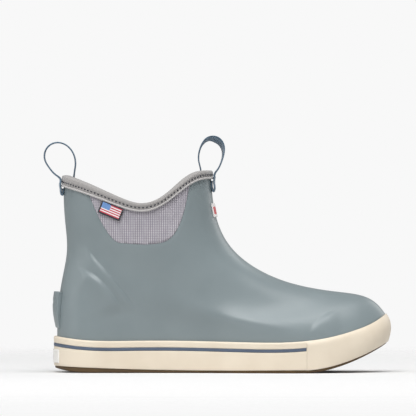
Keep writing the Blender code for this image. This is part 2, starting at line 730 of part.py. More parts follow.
def collar_section(turns, section):
    """Sections round the collar: each point is an offset and a drop below the edge."""
    columns = [wall_point(turns, drop_rise(turns, drop), offset) for offset, drop in section]
    return np.stack(columns, axis=1)


def make_collar():
    """Binding folded over the top edge, its piping and the thread that holds it."""
    depth = band_depth(ring_turns)
    none = 0 * depth
    outside = GAP + BAND_THICKNESS
    inside = -(LINING_INSIDE + BAND_PLAY)
    shoulder = 0.75 * BAND_ROUND
    crown = none + BAND_ROUND / 6
    outer = [(GAP, depth), (outside, depth), (outside, (THREAD_PLACE + 0.18) * depth),
             (outside - THREAD_PULL, THREAD_PLACE * depth),
             (outside + BAND_BULGE, (THREAD_PLACE - 0.25) * depth), (outside, none + BAND_ROUND),
             (outside - shoulder, crown), (inside - BAND_THICKNESS + shoulder, crown),
             (inside - BAND_THICKNESS, none + BAND_ROUND), (inside - BAND_THICKNESS, none + BAND_INSIDE),
             (inside, none + BAND_INSIDE), (inside, none + SHELL_TOP - GAP), (GAP, none + SHELL_TOP - GAP)]
    hoop("collar_band", collar_section(ring_turns, outer), "collar_fabric")
    hoop("collar_piping", tube_section(ring_turns, GAP + PIPING_DIAMETER / 2,
                                       depth + GAP + PIPING_DIAMETER / 2, PIPING_DIAMETER), "piping_fabric")
    thread_out = outside - THREAD_PULL + GAP + THREAD_DIAMETER / 2
    hoop("collar_stitch_thread", tube_section(ring_turns, thread_out, THREAD_PLACE * depth,
                                              THREAD_DIAMETER, 5), "thread")


def tube_section(turns, offset, drop, diameter, sides=6):
    """Round section of a cord that runs round the collar."""
    angles = np.arange(sides) * 2 * math.pi / sides
    ring = [(offset + diameter / 2 * math.cos(a), drop + diameter / 2 * math.sin(a)) for a in angles]
    return collar_section(turns, ring)


def turns_across(middle, rise, width, columns=PATCH_COLUMNS):
    """Turns on both sides of the heel (0) or toe (pi) line that span a width."""
    tries = np.linspace(0, 1.0, 200)
    points = upper_point(middle + tries, np.full(200, rise))
    away = np.abs(points[:, 1] - points[0, 1])
    reach = np.interp(width / 2, away, tries)
    return middle + np.linspace(-reach, reach, columns + 1)


def make_tails():
    """Sewn ends of both pull loops, outside and inside the collar."""
    piping_out = GAP + PIPING_DIAMETER + GAP
    band_in = LINING_INSIDE + BAND_PLAY + BAND_THICKNESS + GAP
    for place, middle, depth, pivot in (("heel", 0.0, BAND_HEEL, HEEL_PIVOT_DROP),
                                        ("front", math.pi, BAND_FRONT, FRONT_PIVOT_DROP)):
        turns = turns_across(middle, 1.0, WEB_WIDTH)
        start = pivot + WEB_THICKNESS / 2 + GAP
        step = depth + GAP + PIPING_DIAMETER + GAP
        drops = np.array([start, step, step + TAIL_STEP, max(step + TAIL_STEP + 1, start + TAIL_LENGTH)])
        offsets = np.array([piping_out, piping_out, GAP, GAP])
        add_tail(place + "_loop_outer_tail", turns, drops, offsets, WEB_THICKNESS)
        drops = np.array([INNER_TAIL_DROP, BAND_INSIDE + GAP, BAND_INSIDE + GAP + TAIL_STEP,
                          INNER_TAIL_DROP + INNER_TAIL_LENGTH])
        offsets = -np.array([band_in, band_in, LINING_INSIDE + BAND_PLAY, LINING_INSIDE + BAND_PLAY])
        add_tail(place + "_loop_inner_tail", turns, drops, offsets, -WEB_THICKNESS)


def add_tail(name, turns, drops, offsets, thickness):
    """Strip of webbing that lies on the wall, stepping down past a raised edge."""
    rises = np.array([drop_rise(turns, drop) for drop in drops])
    near = wall_point(turns, rises, offsets[:, None])
    far = wall_point(turns, rises, offsets[:, None] + thickness)
    between(name, near, far, "loop_webbing")


def make_loop(name, middle, drop, profile):
    """Pull loop: a teardrop of webbing that swings on the end of its outer leg."""
    rise = float(drop_rise(np.array(middle), drop))
    offset = GAP + PIPING_DIAMETER + GAP + WEB_THICKNESS / 2
    pivot = wall_point(np.array(middle), np.array(rise), np.array(offset))
    path_x, path_z = path_spline(profile)
    share = np.linspace(0, 1, 22)
    line = np.column_stack([path_x(share), path_z(share)])
    swing = bpy.data.objects.new(name + "_axis", None)
    boot_parts.objects.link(swing)
    swing.matrix_world = Matrix.Translation(pivot * MM)
    points = np.stack([np.column_stack([line[:, 0], np.full(len(line), y), line[:, 1]])
                       for y in (-WEB_WIDTH / 2, WEB_WIDTH / 2)], axis=1)
    strap = new_object(name, points, grid_faces(len(line), 2), "loop_webbing")
    wall = strap.modifiers.new("webbing", "SOLIDIFY")
    wall.thickness = WEB_THICKNESS * MM
    wall.offset = 0
    wall.use_even_offset = True
    strap.parent = swing


def on_facets(turns, rises, offset):
    """Rows of points at an offset from the upper's flat facets, which stand off its hollow front."""
    rows = rows_up(-1.0, SHELL_ROWS, drop_rise(turns, SHELL_TOP))
    points = []
    for rise in rises:
        above = int(np.argmax(rows[:, 0] > rise))
        share = (rise - rows[above - 1]) / (rows[above] - rows[above - 1])
        low = wall_point(turns, rows[above - 1], offset)
        high = wall_point(turns, rows[above], offset)
        points.append(low + (high - low) * share[:, None])
    return np.array(points)


def make_front_label():
    """Small woven patch round the front of the shaft."""
    rises = rises_for_heights(math.pi, np.linspace(*FRONT_LABEL_Z, 3) * height_scale)
    turns = turns_across(math.pi, float(rises[1]), FRONT_LABEL_WIDTH, 6)
    inner = on_facets(turns, rises, GAP)
    outer = on_facets(turns, rises, GAP + FRONT_LABEL_THICKNESS)
    between("front_label", inner, outer, "woven_label")


def rises_for_heights(middle, heights):
    """Rises on the heel or toe line at the given heights."""
    tries = np.linspace(0, 1, 400)
    z = upper_point(np.full(400, middle), tries)[:, 2]
    return np.interp(heights, z, tries)


def make_kick_tab():
    """Moulded ledge at the back of the heel, for pushing the boot off."""
    rises = rises_for_heights(0.0, np.linspace(*KICK_Z, len(KICK_DEPTHS)) * height_scale)
    turns = turns_across(0.0, float(rises[2]), KICK_WIDTH, 6)
    side = np.abs(turns) / np.abs(turns).max()
    depth = np.array(KICK_DEPTHS)[:, None] * (1 - KICK_CROWN * side ** 2)
    inner = wall_point(turns, rises[:, None], GAP)
    outer = wall_point(turns, rises[:, None], GAP + depth)
    between("heel_kick_tab", inner, outer, "grey_rubber")


def make_side_label():
    """Woven label that hangs from the piping by its top edge."""
    width, height, thickness = SIDE_LABEL
    along = (SIDE_LABEL_X * length_scale - collar_back) / (collar_front - collar_back)
    turn = np.array(math.acos(1 - 2 * along))
    drop = float(band_depth(turn)) + GAP + PIPING_DIAMETER + GAP + thickness / 2
    rise = drop_rise(turn, drop)
    out = GAP + thickness / 2
    edge = wall_point(turn, rise, out)
    step = 0.05
    ahead = wall_point(turn + step, drop_rise(turn + step, drop), out)
    behind = wall_point(turn - step, drop_rise(turn - step, drop), out)
    tangent = unit(ahead - behind)
    normal = unit(upper_normal(turn, rise) - np.dot(upper_normal(turn, rise), tangent) * tangent)
    down = np.cross(tangent, normal)
    down = down * -np.sign(down[2])
    frame = Matrix(np.column_stack([tangent, normal, np.cross(tangent, normal)]).tolist()).to_4x4()
    frame.translation = edge * MM
    swing = bpy.data.objects.new("side_label_axis", None)
    boot_parts.objects.link(swing)
    swing.matrix_world = frame
    reach = height * np.dot(down, np.cross(tangent, normal))
    corners = [(x, y, z) for x in (-width / 2, width / 2) for y in (-thickness / 2, thickness / 2)
               for z in (0, reach)]
    faces = [(0, 1, 3, 2), (4, 5, 7, 6), (0, 1, 5, 4), (2, 3, 7, 6), (0, 2, 6, 4), (1, 3, 7, 5)]
    label = new_object("side_label", corners, faces, "woven_label")
    label.parent = swing


clear_scene()
for finish, look in MATERIALS.items():
    material(finish, *look)
make_sole()
make_foxing()
make_bumper()
make_badge()
make_upper()
make_lining()
make_gores()
make_stiffeners()
make_collar()
make_tails()
make_loop("heel_pull_loop", 0.0, HEEL_PIVOT_DROP, HEEL_LOOP_PROFILE)
make_loop("front_pull_loop", math.pi, FRONT_PIVOT_DROP, FRONT_LOOP_PROFILE)
make_front_label()
make_kick_tab()
make_side_label()
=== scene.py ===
# %% [markdown]
# A pull-on rubber deck boot, dressed piece by piece.
# The boot stands in a fixed frame: its parts are already packed at their real size, and this
# lesson only gives them fine surfaces and finishes. +X points to the toe, +Y to the inner side
# of the foot, +Z up, and the ground is at zero.

# %% Load the fixed frame
import math

import bpy
import numpy as np
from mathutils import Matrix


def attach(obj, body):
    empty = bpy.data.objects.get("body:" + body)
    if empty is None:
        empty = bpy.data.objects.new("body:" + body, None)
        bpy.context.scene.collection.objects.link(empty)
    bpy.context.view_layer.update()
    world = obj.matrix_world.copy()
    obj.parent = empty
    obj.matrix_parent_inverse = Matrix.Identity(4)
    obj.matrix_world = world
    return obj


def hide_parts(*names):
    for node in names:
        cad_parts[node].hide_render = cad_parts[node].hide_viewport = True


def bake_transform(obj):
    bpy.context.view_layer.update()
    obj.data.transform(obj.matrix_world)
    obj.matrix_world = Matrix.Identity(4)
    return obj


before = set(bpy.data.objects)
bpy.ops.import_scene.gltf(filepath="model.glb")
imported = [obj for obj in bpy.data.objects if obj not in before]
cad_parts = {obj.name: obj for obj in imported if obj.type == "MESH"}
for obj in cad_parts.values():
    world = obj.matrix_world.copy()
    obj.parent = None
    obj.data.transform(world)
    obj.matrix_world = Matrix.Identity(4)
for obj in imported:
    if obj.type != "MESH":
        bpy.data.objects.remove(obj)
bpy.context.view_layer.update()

MM = 0.001                                   # shapes below are worked out in millimetres
GAP = 0.3                                    # air between neighbouring parts

# %% [markdown]
# Arithmetic for shaders. A finish is a small graph of nodes, and most nodes in it do plain
# sums. Wrapping a socket in a class with Python's operators lets a finish be written as a
# formula, such as 1 - mask, and every other node comes from the one method node().


# %% Wire: a node socket with arithmetic
class Wire:
    """Output socket of a node. Each operator adds one Math node to the same finish."""

    def __init__(self, tree, socket=None):
        self.tree = tree
        self.socket = socket

    def node(self, kind, settings=None, inputs=None, output=0):
        """Any node: its settings first, then values or wires for its sockets."""
        made = self.tree.nodes.new(kind)
        for name, value in (settings or {}).items():
            if name == "stops":
                ramp = made.color_ramp.elements
                while len(ramp) < len(value):
                    ramp.new(1.0)
                for element, (place, colour) in zip(ramp, value):
                    element.position = place
                    element.color = (*colour, 1)
            else:
                setattr(made, name, value)
        for name, value in (inputs or {}).items():
            if isinstance(value, Wire):
                self.tree.links.new(value.socket, made.inputs[name])
            else:
                made.inputs[name].default_value = value
        return Wire(self.tree, made.outputs[output])

    def math(self, operation, *values):
        """Math node of an operation on this wire and further values."""
        inputs = dict(enumerate((self, *values)))
        return self.node("ShaderNodeMath", {"operation": operation}, inputs)

    def __add__(self, other):
        return self.math("ADD", other)

    __radd__ = __add__

    def __mul__(self, other):
        return self.math("MULTIPLY", other)

    __rmul__ = __mul__

    def __sub__(self, other):
        return self.math("SUBTRACT", other)

    def __rsub__(self, other):
        return (self * -1) + other

    def __gt__(self, other):
        return self.math("GREATER_THAN", other)

    def __lt__(self, other):
        return self.math("LESS_THAN", other)

    def axis(self, name):
        """One component of a vector wire."""
        return self.node("ShaderNodeSeparateXYZ", None, {0: self}, "XYZ".index(name))

    def ease(self, low, high):
        """0 below low, 1 above high, smooth between."""
        settings = {"interpolation_type": "SMOOTHSTEP"}
        inputs = {"Value": self, "From Min": low, "From Max": high}
        return self.node("ShaderNodeMapRange", settings, inputs)

    def mix(self, colour_a, colour_b):
        """Colour a where this wire is 0, colour b where it is 1."""
        inputs = {0: self, 6: colour_a, 7: colour_b}
        return self.node("ShaderNodeMix", {"data_type": "RGBA"}, inputs, 2)


# %% [markdown]
# Starting a finish. Everything that is the same all over a surface sits on the shader's own
# sockets, and only what changes over it comes through nodes. Fine relief, such as the grain of
# moulded rubber or the ribs of webbing, goes into a Bump node.

# %% Start a finish
def tone(red, green, blue):
    """Screen colour from 0 to 255, as the linear colour a shader works with."""
    share = np.array([red, green, blue]) / 255
    linear = np.where(share < 0.04045, share / 12.92, ((share + 0.055) / 1.055) ** 2.4)
    return (*linear.tolist(), 1.0)


class Finish:
    """A material with one Principled shader, and the wires that start its formulas."""

    def __init__(self, name, roughness, **constants):
        self.material = bpy.data.materials.new(name)
        self.material.use_nodes = True
        self.shader = self.material.node_tree.nodes["Principled BSDF"]
        self.shader.inputs["Roughness"].default_value = roughness
        for socket, value in constants.items():
            self.shader.inputs[socket.replace("_", " ")].default_value = value
        self.start = Wire(self.material.node_tree)

    def place(self):
        """Point of the surface in millimetres, in the frame of the boot."""
        where = self.start.node("ShaderNodeTexCoord", None, None, "Object")
        inputs = {0: where, "Scale": 1 / MM}
        return where.node("ShaderNodeVectorMath", {"operation": "SCALE"}, inputs)

    def cloth(self):
        """Millimetres along and across the piece, from its own UV map."""
        return self.start.node("ShaderNodeUVMap", {"uv_map": "cloth"})

    def noise(self, place, size, detail=2.0):
        """Cloudy noise from 0 to 1, with patches of the given size in millimetres."""
        inputs = {"Vector": place, "Scale": 1 / size, "Detail": detail}
        return place.node("ShaderNodeTexNoise", None, inputs)

    def wave(self, place, pitch):
        """Smooth ridges from 0 to 1 along a number that counts millimetres."""
        return (place * (2 * math.pi / pitch)).math("SINE") * 0.5 + 0.5

    def set(self, socket, wire):
        """Wire into a socket of the shader."""
        wire.tree.links.new(wire.socket, self.shader.inputs[socket])

    def relief(self, height, depth):
        """Bump of a height from 0 to 1, with its depth in millimetres."""
        inputs = {"Height": height, "Distance": depth * MM}
        self.set("Normal", height.node("ShaderNodeBump", None, inputs))


# %% [markdown]
# The boot's outer face is one smooth surface, drawn from its side view: the line of the heel,
# the line of shin, instep and toe, the top edge of the foxing and the edge of the collar. A
# Coons patch fills the four lines, and a second rule gives the width at each place. Every
# piece below is this surface moved out or in, so all of them fit without any measuring.

# %% Driving lines of the boot
HEEL_WIDTH, WAIST_WIDTH, BALL_WIDTH, TOE_WIDTH = 71.0, 73.0, 99.0, 91.0
ANKLE_WIDTH, SHAFT_WIDTH = 82.0, 92.0
HEEL_LINE = [(-145.4, 31.9), (-145.2, 48.0), (-142.9, 70.5), (-139.3, 91.0), (-136.7, 105.0),
             (-137.3, 120.0), (-139.0, 138.0), (-139.8, 155.0), (-139.3, 173.0)]
FRONT_LINE = [(142.6, 51.3), (138.5, 59.3), (131.0, 65.0), (114.7, 68.4), (86.7, 72.3),
              (50.8, 81.0), (21.1, 96.7), (4.5, 112.5), (-3.4, 128.2), (-7.4, 143.0),
              (-9.4, 158.0), (-10.8, 177.3)]
RAND_LINE = [(-145.4, 31.9), (-126.0, 29.2), (-72.0, 28.2), (18.0, 27.0), (67.0, 27.6),
             (92.0, 31.0), (116.0, 37.6), (134.0, 45.5), (142.6, 51.3)]
COLLAR_LINE = [(-139.3, 173.0), (-118.0, 165.0), (-92.0, 154.0), (-69.4, 148.5),
               (-49.8, 156.2), (-32.0, 170.3), (-20.0, 176.4), (-10.8, 177.3)]


def spline(knots, values):
    """Natural cubic spline through values at rising knots: a function of the knot."""
    knots, values = np.asarray(knots, float), np.asarray(values, float)
    spans = np.diff(knots)
    count = len(knots)
    system, pull = np.eye(count), np.zeros_like(values)
    for i in range(1, count - 1):
        system[i, i - 1:i + 2] = spans[i - 1], 2 * (spans[i - 1] + spans[i]), spans[i]
        ahead, behind = values[i + 1] - values[i], values[i] - values[i - 1]
        pull[i] = 6 * (ahead / spans[i] - behind / spans[i - 1])
    bend = np.linalg.solve(system, pull.reshape(count, -1)).reshape(values.shape)

    def at(place):
        place = np.clip(np.asarray(place, float), knots[0], knots[-1])
        i = np.clip(np.searchsorted(knots, place) - 1, 0, count - 2)
        extra = (1,) * (values.ndim - 1)
        a = ((knots[i + 1] - place) / spans[i]).reshape(place.shape + extra)
        b = 1 - a
        curve = (a ** 3 - a) * bend[i] + (b ** 3 - b) * bend[i + 1]
        return a * values[i] + b * values[i + 1] + curve * spans[i].reshape(a.shape) ** 2 / 6

    return at


def path_spline(points):
    """Smooth path through points, as a function of the share (0 to 1) of its length."""
    points = np.asarray(points, float)
    steps = np.linalg.norm(np.diff(points, axis=0), axis=1)
    return spline(np.concatenate([[0], np.cumsum(steps)]) / steps.sum(), points)


def ease(low, high, share):
    """Value from low to high, flat at both ends."""
    share = np.clip(share, 0, 1)
    return low + (high - low) * share * share * (3 - 2 * share)


print("driving lines:", len(HEEL_LINE), len(FRONT_LINE), len(RAND_LINE), len(COLLAR_LINE), "points")

# %% The outer face as a function of turn and rise
heel_line, front_line = path_spline(HEEL_LINE), path_spline(FRONT_LINE)
rand_z = spline(*np.transpose(RAND_LINE))
collar_z = spline(*np.transpose(COLLAR_LINE))
heel_end, toe_end = RAND_LINE[0][0], RAND_LINE[-1][0]
collar_back, collar_front = COLLAR_LINE[0][0], COLLAR_LINE[-1][0]
foot_widths = [HEEL_WIDTH, HEEL_WIDTH, WAIST_WIDTH, BALL_WIDTH, TOE_WIDTH, TOE_WIDTH]
foot_half = spline([0, 0.22, 0.45, 0.72, 0.9, 1], np.array(foot_widths) / 2)
ankle_half = spline([0, 0.3, 0.6, 1],
                    np.array([HEEL_WIDTH, ANKLE_WIDTH - 4, ANKLE_WIDTH, BALL_WIDTH + 3]) / 2)
foot_middle = spline([0, 0.25, 0.5, 0.72, 0.9, 1], [0, -0.5, -2.5, 0, 4.5, 6.5])
heel_round = spline([0, 0.3, 0.6, 1], [38, 38, 50, 64.5])
toe_round = spline([0, 0.12, 0.3, 0.55, 0.75, 1], [66, 92, 128, 104, 80, 64.5])
END_POWER = 2.2                              # 2 would make the ends elliptical
ANKLE_RISE = 0.5                             # where the width is the ankle's
TWIST_RISE = 0.6                             # above this the boot is straight over its middle line


def along_share(turn):
    """Share of the way from heel to toe: 0 at turn 0, 1 at turn pi."""
    return (1 - np.cos(turn)) / 2


def turn_at(x, back, front):
    """Turn on the outer side at which a line from back to front passes x."""
    return math.acos(1 - 2 * (x - back) / (front - back))


def full_turn(count):
    """Turns once round the boot, evenly spread."""
    return np.linspace(0, 2 * math.pi, count, endpoint=False)


def side_patch(along, rise):
    """Coons patch: the two pairs of lines blended, less the plane through the four corners."""
    heel, front = heel_line(rise), front_line(rise)
    low_x = heel_end + (toe_end - heel_end) * along
    high_x = collar_back + (collar_front - collar_back) * along
    below = np.stack([low_x, rand_z(low_x)], -1)
    above = np.stack([high_x, collar_z(high_x)], -1)
    a, r = along[..., None], rise[..., None]
    corners = ((1 - a) * ((1 - r) * heel_line(0.0) + r * heel_line(1.0))
               + a * ((1 - r) * front_line(0.0) + r * front_line(1.0)))
    return (1 - r) * below + r * above + (1 - a) * heel + a * front - corners


def end_factor(distance, depth):
    """Share of the full width, at a distance from a round end of the given depth."""
    inside = 1 - np.clip(distance / depth, 0, 1)
    return np.sqrt(np.clip(1 - inside ** END_POWER, 0, 1))


def upper_point(turn, rise):
    """Outer face: turn 0 at the heel, pi at the toe; rise 0 at the foxing, 1 at the collar."""
    turn, rise = np.broadcast_arrays(turn, rise)
    along = along_share(turn)
    side = side_patch(along, rise)
    span = np.linalg.norm(front_line(rise) - heel_line(rise), axis=-1)
    low, middle = foot_half(along), ankle_half(along)
    foot = ease(low, middle, rise / ANKLE_RISE)
    shaft = ease(middle, SHAFT_WIDTH / 2, (rise - ANKLE_RISE) / (1 - ANKLE_RISE))
    half = np.where(rise < ANKLE_RISE, foot, shaft)
    half = half * end_factor(along * span, np.minimum(heel_round(rise), span / 2))
    half = half * end_factor((1 - along) * span, np.minimum(toe_round(rise), span / 2))
    y = foot_middle(along) * ease(1, 0, rise / TWIST_RISE) - np.sign(np.sin(turn)) * half
    return np.stack([side[..., 0], y, side[..., 1]], axis=-1)


def unit(vectors):
    """Vectors at length 1."""
    return vectors / np.linalg.norm(vectors, axis=-1, keepdims=True)


def upper_normal(turn, rise):
    """Outward direction: the cross product of a small step round and a small step up."""
    turn, rise = np.broadcast_arrays(turn, rise)
    step = 0.002
    around = upper_point(turn + step, rise) - upper_point(turn - step, rise)
    higher, lower = np.minimum(rise + step, 1), np.maximum(rise - step, 0)
    return unit(np.cross(around, upper_point(turn, higher) - upper_point(turn, lower)))


def level_normal(turn):
    """Outward direction at the foxing line, level with the ground."""
    return unit(upper_normal(turn, 0.0) * (1, 1, 0))


def wall_point(turn, rise, offset):
    """Outer face moved by an offset; a rise below 0 is the straight skirt behind the foxing."""
    turn, rise, offset = np.broadcast_arrays(turn, rise, offset)
    above = upper_normal(turn, np.maximum(rise, 0))
    lean = np.where(rise[..., None] > 0, above, level_normal(turn))
    edge = unit(upper_normal(turn, 0.0) + level_normal(turn))
    lean = np.where(rise[..., None] == 0, edge, lean)
    point = upper_point(turn, np.maximum(rise, 0)) + lean * offset[..., None]
    point[..., 2] += (feather_z(point[..., 0]) - point[..., 2]) * np.clip(-rise, 0, 1)
    return point


def drop_rise(turn, drop):
    """Rise of the line that runs a given distance below the collar's edge."""
    step = 0.004
    span = upper_point(turn, 1.0) - upper_point(turn, 1.0 - step)
    return 1 - drop * step / np.linalg.norm(span, axis=-1)


def collar_point(turn, drop, offset):
    """Outer face moved by an offset, at a given distance below the collar's edge."""
    return wall_point(turn, drop_rise(turn, drop), offset)


print("upper at the foxing:", np.ptp(upper_point(full_turn(200), 0.0), axis=0).round(1), "mm")

# %% Heights of the sole's layers
LIP_HEEL, LIP_WAIST, LIP_TOE = 5.8, 2.5, 0.9
CORE_RISE, FILLER_THICKNESS, BOARD_THICKNESS = 3.0, 6.0, 2.0
SPRING_START, SPRING_RISE, SPRING_POWER = 72.0, 24.5, 1.7
HEEL_ROLL_LENGTH, HEEL_ROLL_RISE = 28.0, 3.6
lip_height = spline([heel_end, -72, 20, 85, toe_end],
                    [LIP_HEEL, LIP_WAIST + 0.6, LIP_WAIST - 0.2, LIP_WAIST, LIP_TOE])


def spring_z(x):
    """Ground line: level, then rising to the toe by a power of the way ahead."""
    ahead = np.clip((x - SPRING_START) / (toe_end - SPRING_START), 0, 1.1)
    return SPRING_RISE * ahead ** SPRING_POWER


def ground_z(x):
    """Underside of the outsole, with the rolled back edge of the heel."""
    behind = np.clip((heel_end + HEEL_ROLL_LENGTH - x) / HEEL_ROLL_LENGTH, 0, 1)
    return spring_z(x) + HEEL_ROLL_RISE * behind ** 2


def foxing_z(x):
    """Bottom edge of the foxing."""
    return spring_z(x) + lip_height(x)


def feather_z(x):
    """Bottom edge of upper, lining and board."""
    return foxing_z(x) + CORE_RISE + FILLER_THICKNESS + 2 * GAP


def outline(turn, offset):
    """Plan outline of the sole, at an offset from the upper."""
    moved = level_normal(turn) * np.asarray(offset)[..., None]
    return (upper_point(turn, 0.0) + moved)[..., :2]


print("toe stands", round(float(ground_z(toe_end)), 1), "mm off the ground")

# %% [markdown]
# Turning arrays into meshes. All pieces here are grids of points: rows times columns, closed
# round on itself where the piece is a ring. One function puts such a grid into a mesh, checks
# by its signed volume that the faces look outwards, and stores millimetres along and across
# the piece as a UV map, which woven finishes follow.

# %% Grid to mesh
def grid_corners(rows, columns, close_rows, close_columns):
    """Row and column numbers of each quad's four corners; a closed way runs one step over."""
    r, c = np.indices((rows - (not close_rows), columns - (not close_columns)))
    return (np.stack([r, r, r + 1, r + 1], -1).reshape(-1, 4),
            np.stack([c, c + 1, c + 1, c], -1).reshape(-1, 4))


def running(points, axis, closed):
    """Distance run along an axis of a grid, averaged over the other one."""
    if closed:
        points = np.concatenate([points, points.take([0], axis=axis)], axis=axis)
    steps = np.linalg.norm(np.diff(points, axis=axis), axis=-1).mean(axis=1 - axis)
    return np.concatenate([[0], np.cumsum(steps)])


def new_mesh(name, points, faces, cloth, finish):
    """Smooth mesh object. Points and cloth, which has a row per quad corner, are millimetres."""
    mesh = bpy.data.meshes.new(name)
    mesh.from_pydata((points * MM).tolist(), [], faces)
    caps = np.zeros((len(mesh.loops) - len(cloth), 2))
    mesh.uv_layers.new(name="cloth").data.foreach_set("uv", np.concatenate([cloth, caps]).ravel())
    mesh.shade_smooth()
    made = bpy.data.objects.new(name, mesh)
    bpy.context.scene.collection.objects.link(made)
    made.data.materials.append(finish.material)
    return made


def new_piece(name, grid, finish, close_rows=False, close_columns=False, caps=False, smooth=40):
    """Mesh object from a grid of points in millimetres. Caps close the two ends of open rows."""
    grid = np.asarray(grid, float)
    rows, columns = grid.shape[:2]
    at_row, at_column = grid_corners(rows, columns, close_rows, close_columns)
    quads = (at_row % rows) * columns + at_column % columns
    points = grid.reshape(-1, 3)
    turned = 1
    if (close_rows or caps) and close_columns:
        a, b, c, d = (points[quads[:, i]] for i in range(4))
        volume = np.sum(np.cross(c - a, d - b) * (a + b + c + d)) / 24
        turned = -1 if volume < 0 else 1
    quads, at_row, at_column = (way[:, ::turned] for way in (quads, at_row, at_column))
    faces = quads.tolist()
    if caps:
        first, last = range(columns), range((rows - 1) * columns, rows * columns)
        faces += [list(first)[::-turned], list(last)[::turned]]
    along, across = running(grid, 0, close_rows), running(grid, 1, close_columns)
    cloth = np.stack([along[at_row.ravel()], across[at_column.ravel()]], -1)
    made = new_mesh(name, points, faces, cloth, finish)
    made.data.set_sharp_from_angle(angle=math.radians(smooth))
    return made


def new_ring(name, grid, finish):
    """Closed piece: a closed section carried all the way round."""
    return new_piece(name, grid, finish, close_rows=True, close_columns=True)


def new_bar(name, grid, finish, smooth=40):
    """Closed piece: a closed section carried from one end to the other, capped at both."""
    return new_piece(name, grid, finish, close_columns=True, caps=True, smooth=smooth)


def dress(piece, nodes, body="root"):
    """The piece stands for these parts, which are hidden, and rides on this body."""
    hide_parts(*nodes)
    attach(piece, body)
    print(piece.name, len(piece.data.polygons), "faces, on", body)
    return piece


# %% [markdown]
# Camera, light and floor. A long lens on a level camera keeps the sole a straight line, as in
# a catalogue. The sky is a soft dome, two very large softboxes draw the broad sheen on the
# instep, two small ones light the heel and the rim, and the floor fades out before its horizon.

# %% Camera
AIM = np.array([-13.0, 0.0, 144.0]) * MM
VIEW_WIDTH = 363.8 * MM
DISTANCE = 6.0
SHARP_PLANE = 25 * MM                        # the frame is this wide a little before the middle
camera = bpy.data.objects.new("camera", bpy.data.cameras.new("camera"))
bpy.context.scene.collection.objects.link(camera)
bpy.context.scene.camera = camera
camera.location = AIM + (0, -DISTANCE, 0)
camera.rotation_euler = (math.radians(90), 0, 0)
camera.data.angle = 2 * math.atan(VIEW_WIDTH / 2 / (DISTANCE - SHARP_PLANE))
camera.data.clip_start, camera.data.clip_end = 0.05, 50
bpy.context.scene.view_settings.view_transform = "Standard"
print("lens", round(camera.data.lens), "mm")

# %% Sky dome, softboxes and floor
BACKDROP = tone(248, 248, 248)[:3]
SKY_FLOOR, SKY_SIDE, SKY_TOP = 0.6, 0.36, 0.25  # light of the dome below, level and overhead


def make_sky():
    """Plain pale backdrop for the camera, and for the boot a dome that is dimmest overhead."""
    world = bpy.data.worlds.new("studio")
    bpy.context.scene.world = world
    world.use_nodes = True
    sky = world.node_tree.nodes["Background"]
    start = Wire(world.node_tree)
    height = start.node("ShaderNodeTexCoord", None, None, "Generated").axis("Z")
    seen = start.node("ShaderNodeLightPath", None, None, "Is Camera Ray")
    upper, lower = height.ease(0.0, 0.9), height.ease(-0.3, 0.0)
    light = upper * (SKY_TOP - SKY_SIDE) + lower * (SKY_SIDE - SKY_FLOOR) + SKY_FLOOR
    strength = seen + (1 - seen) * light
    sky.inputs["Color"].default_value = (*BACKDROP, 1)
    world.node_tree.links.new(strength.socket, sky.inputs["Strength"])


def softbox(name, place, target, size, power):
    """Rectangular area light that looks from one point at another."""
    lamp = bpy.data.objects.new(name, bpy.data.lights.new(name, "AREA"))
    lamp.data.shape = "RECTANGLE"
    lamp.data.size, lamp.data.size_y = size
    lamp.data.energy = power
    bpy.context.scene.collection.objects.link(lamp)
    lamp.location = place
    x, y, z = np.array(place) - np.array(target)
    lamp.rotation_euler = (math.atan2(math.hypot(x, y), z), 0, math.atan2(x, -y))


make_sky()
softbox("key_box", (0.3, -0.8, 3.8), (0.0, 0, 0.08), (3.4, 2.6), 110.0)
softbox("sheen_box", (-0.5, -2.6, 2.8), (0.05, 0, 0.06), (2.4, 1.5), 78.0)
softbox("heel_box", (-1.6, -0.3, 0.7), (-0.12, 0, 0.1), (1.0, 1.2), 5.0)
softbox("front_rim_box", (0.8, 0.9, 0.6), (0.0, 0, 0.1), (0.4, 0.8), 2.0)

FLOOR_RADIUS, FLOOR_FADE = 1200.0, 260.0     # millimetres: clear at the rim, solid inside
FLOOR_COLOUR = (0.73, 0.73, 0.73, 1)
FLOOR_PLAY = 0.05                            # the paper lies this far under the sole
FLOOR_RINGS, FLOOR_SPOKES, FLOOR_HOLE = 12, 64, 0.05
floor_finish = Finish("floor_paper", 0.9, Base_Color=FLOOR_COLOUR, Specular_IOR_Level=0.1)
spot = floor_finish.place()
reach = spot.node("ShaderNodeVectorMath", {"operation": "LENGTH"}, {0: spot}, 1)
floor_finish.set("Alpha", 1 - reach.ease(FLOOR_FADE, FLOOR_RADIUS))
rings = np.linspace(FLOOR_HOLE, FLOOR_RADIUS, FLOOR_RINGS)[:, None]
spokes = full_turn(FLOOR_SPOKES)
floor_x, floor_y = rings * np.cos(spokes), rings * np.sin(spokes)
floor_grid = np.stack([floor_x, floor_y, np.full_like(floor_x, -FLOOR_PLAY)], -1)
floor = new_piece("studio_floor", floor_grid, floor_finish, close_columns=True)
print("floor", FLOOR_RADIUS, "mm")

# %% [markdown]
# Grey rubber. The upper is dipped or moulded in one piece, and new rubber like this is satin:
# almost one colour, with faint clouds where it flowed, a very fine grain, and a gloss that
# varies slowly. Noise at three sizes does all of that, without any picture of a surface.

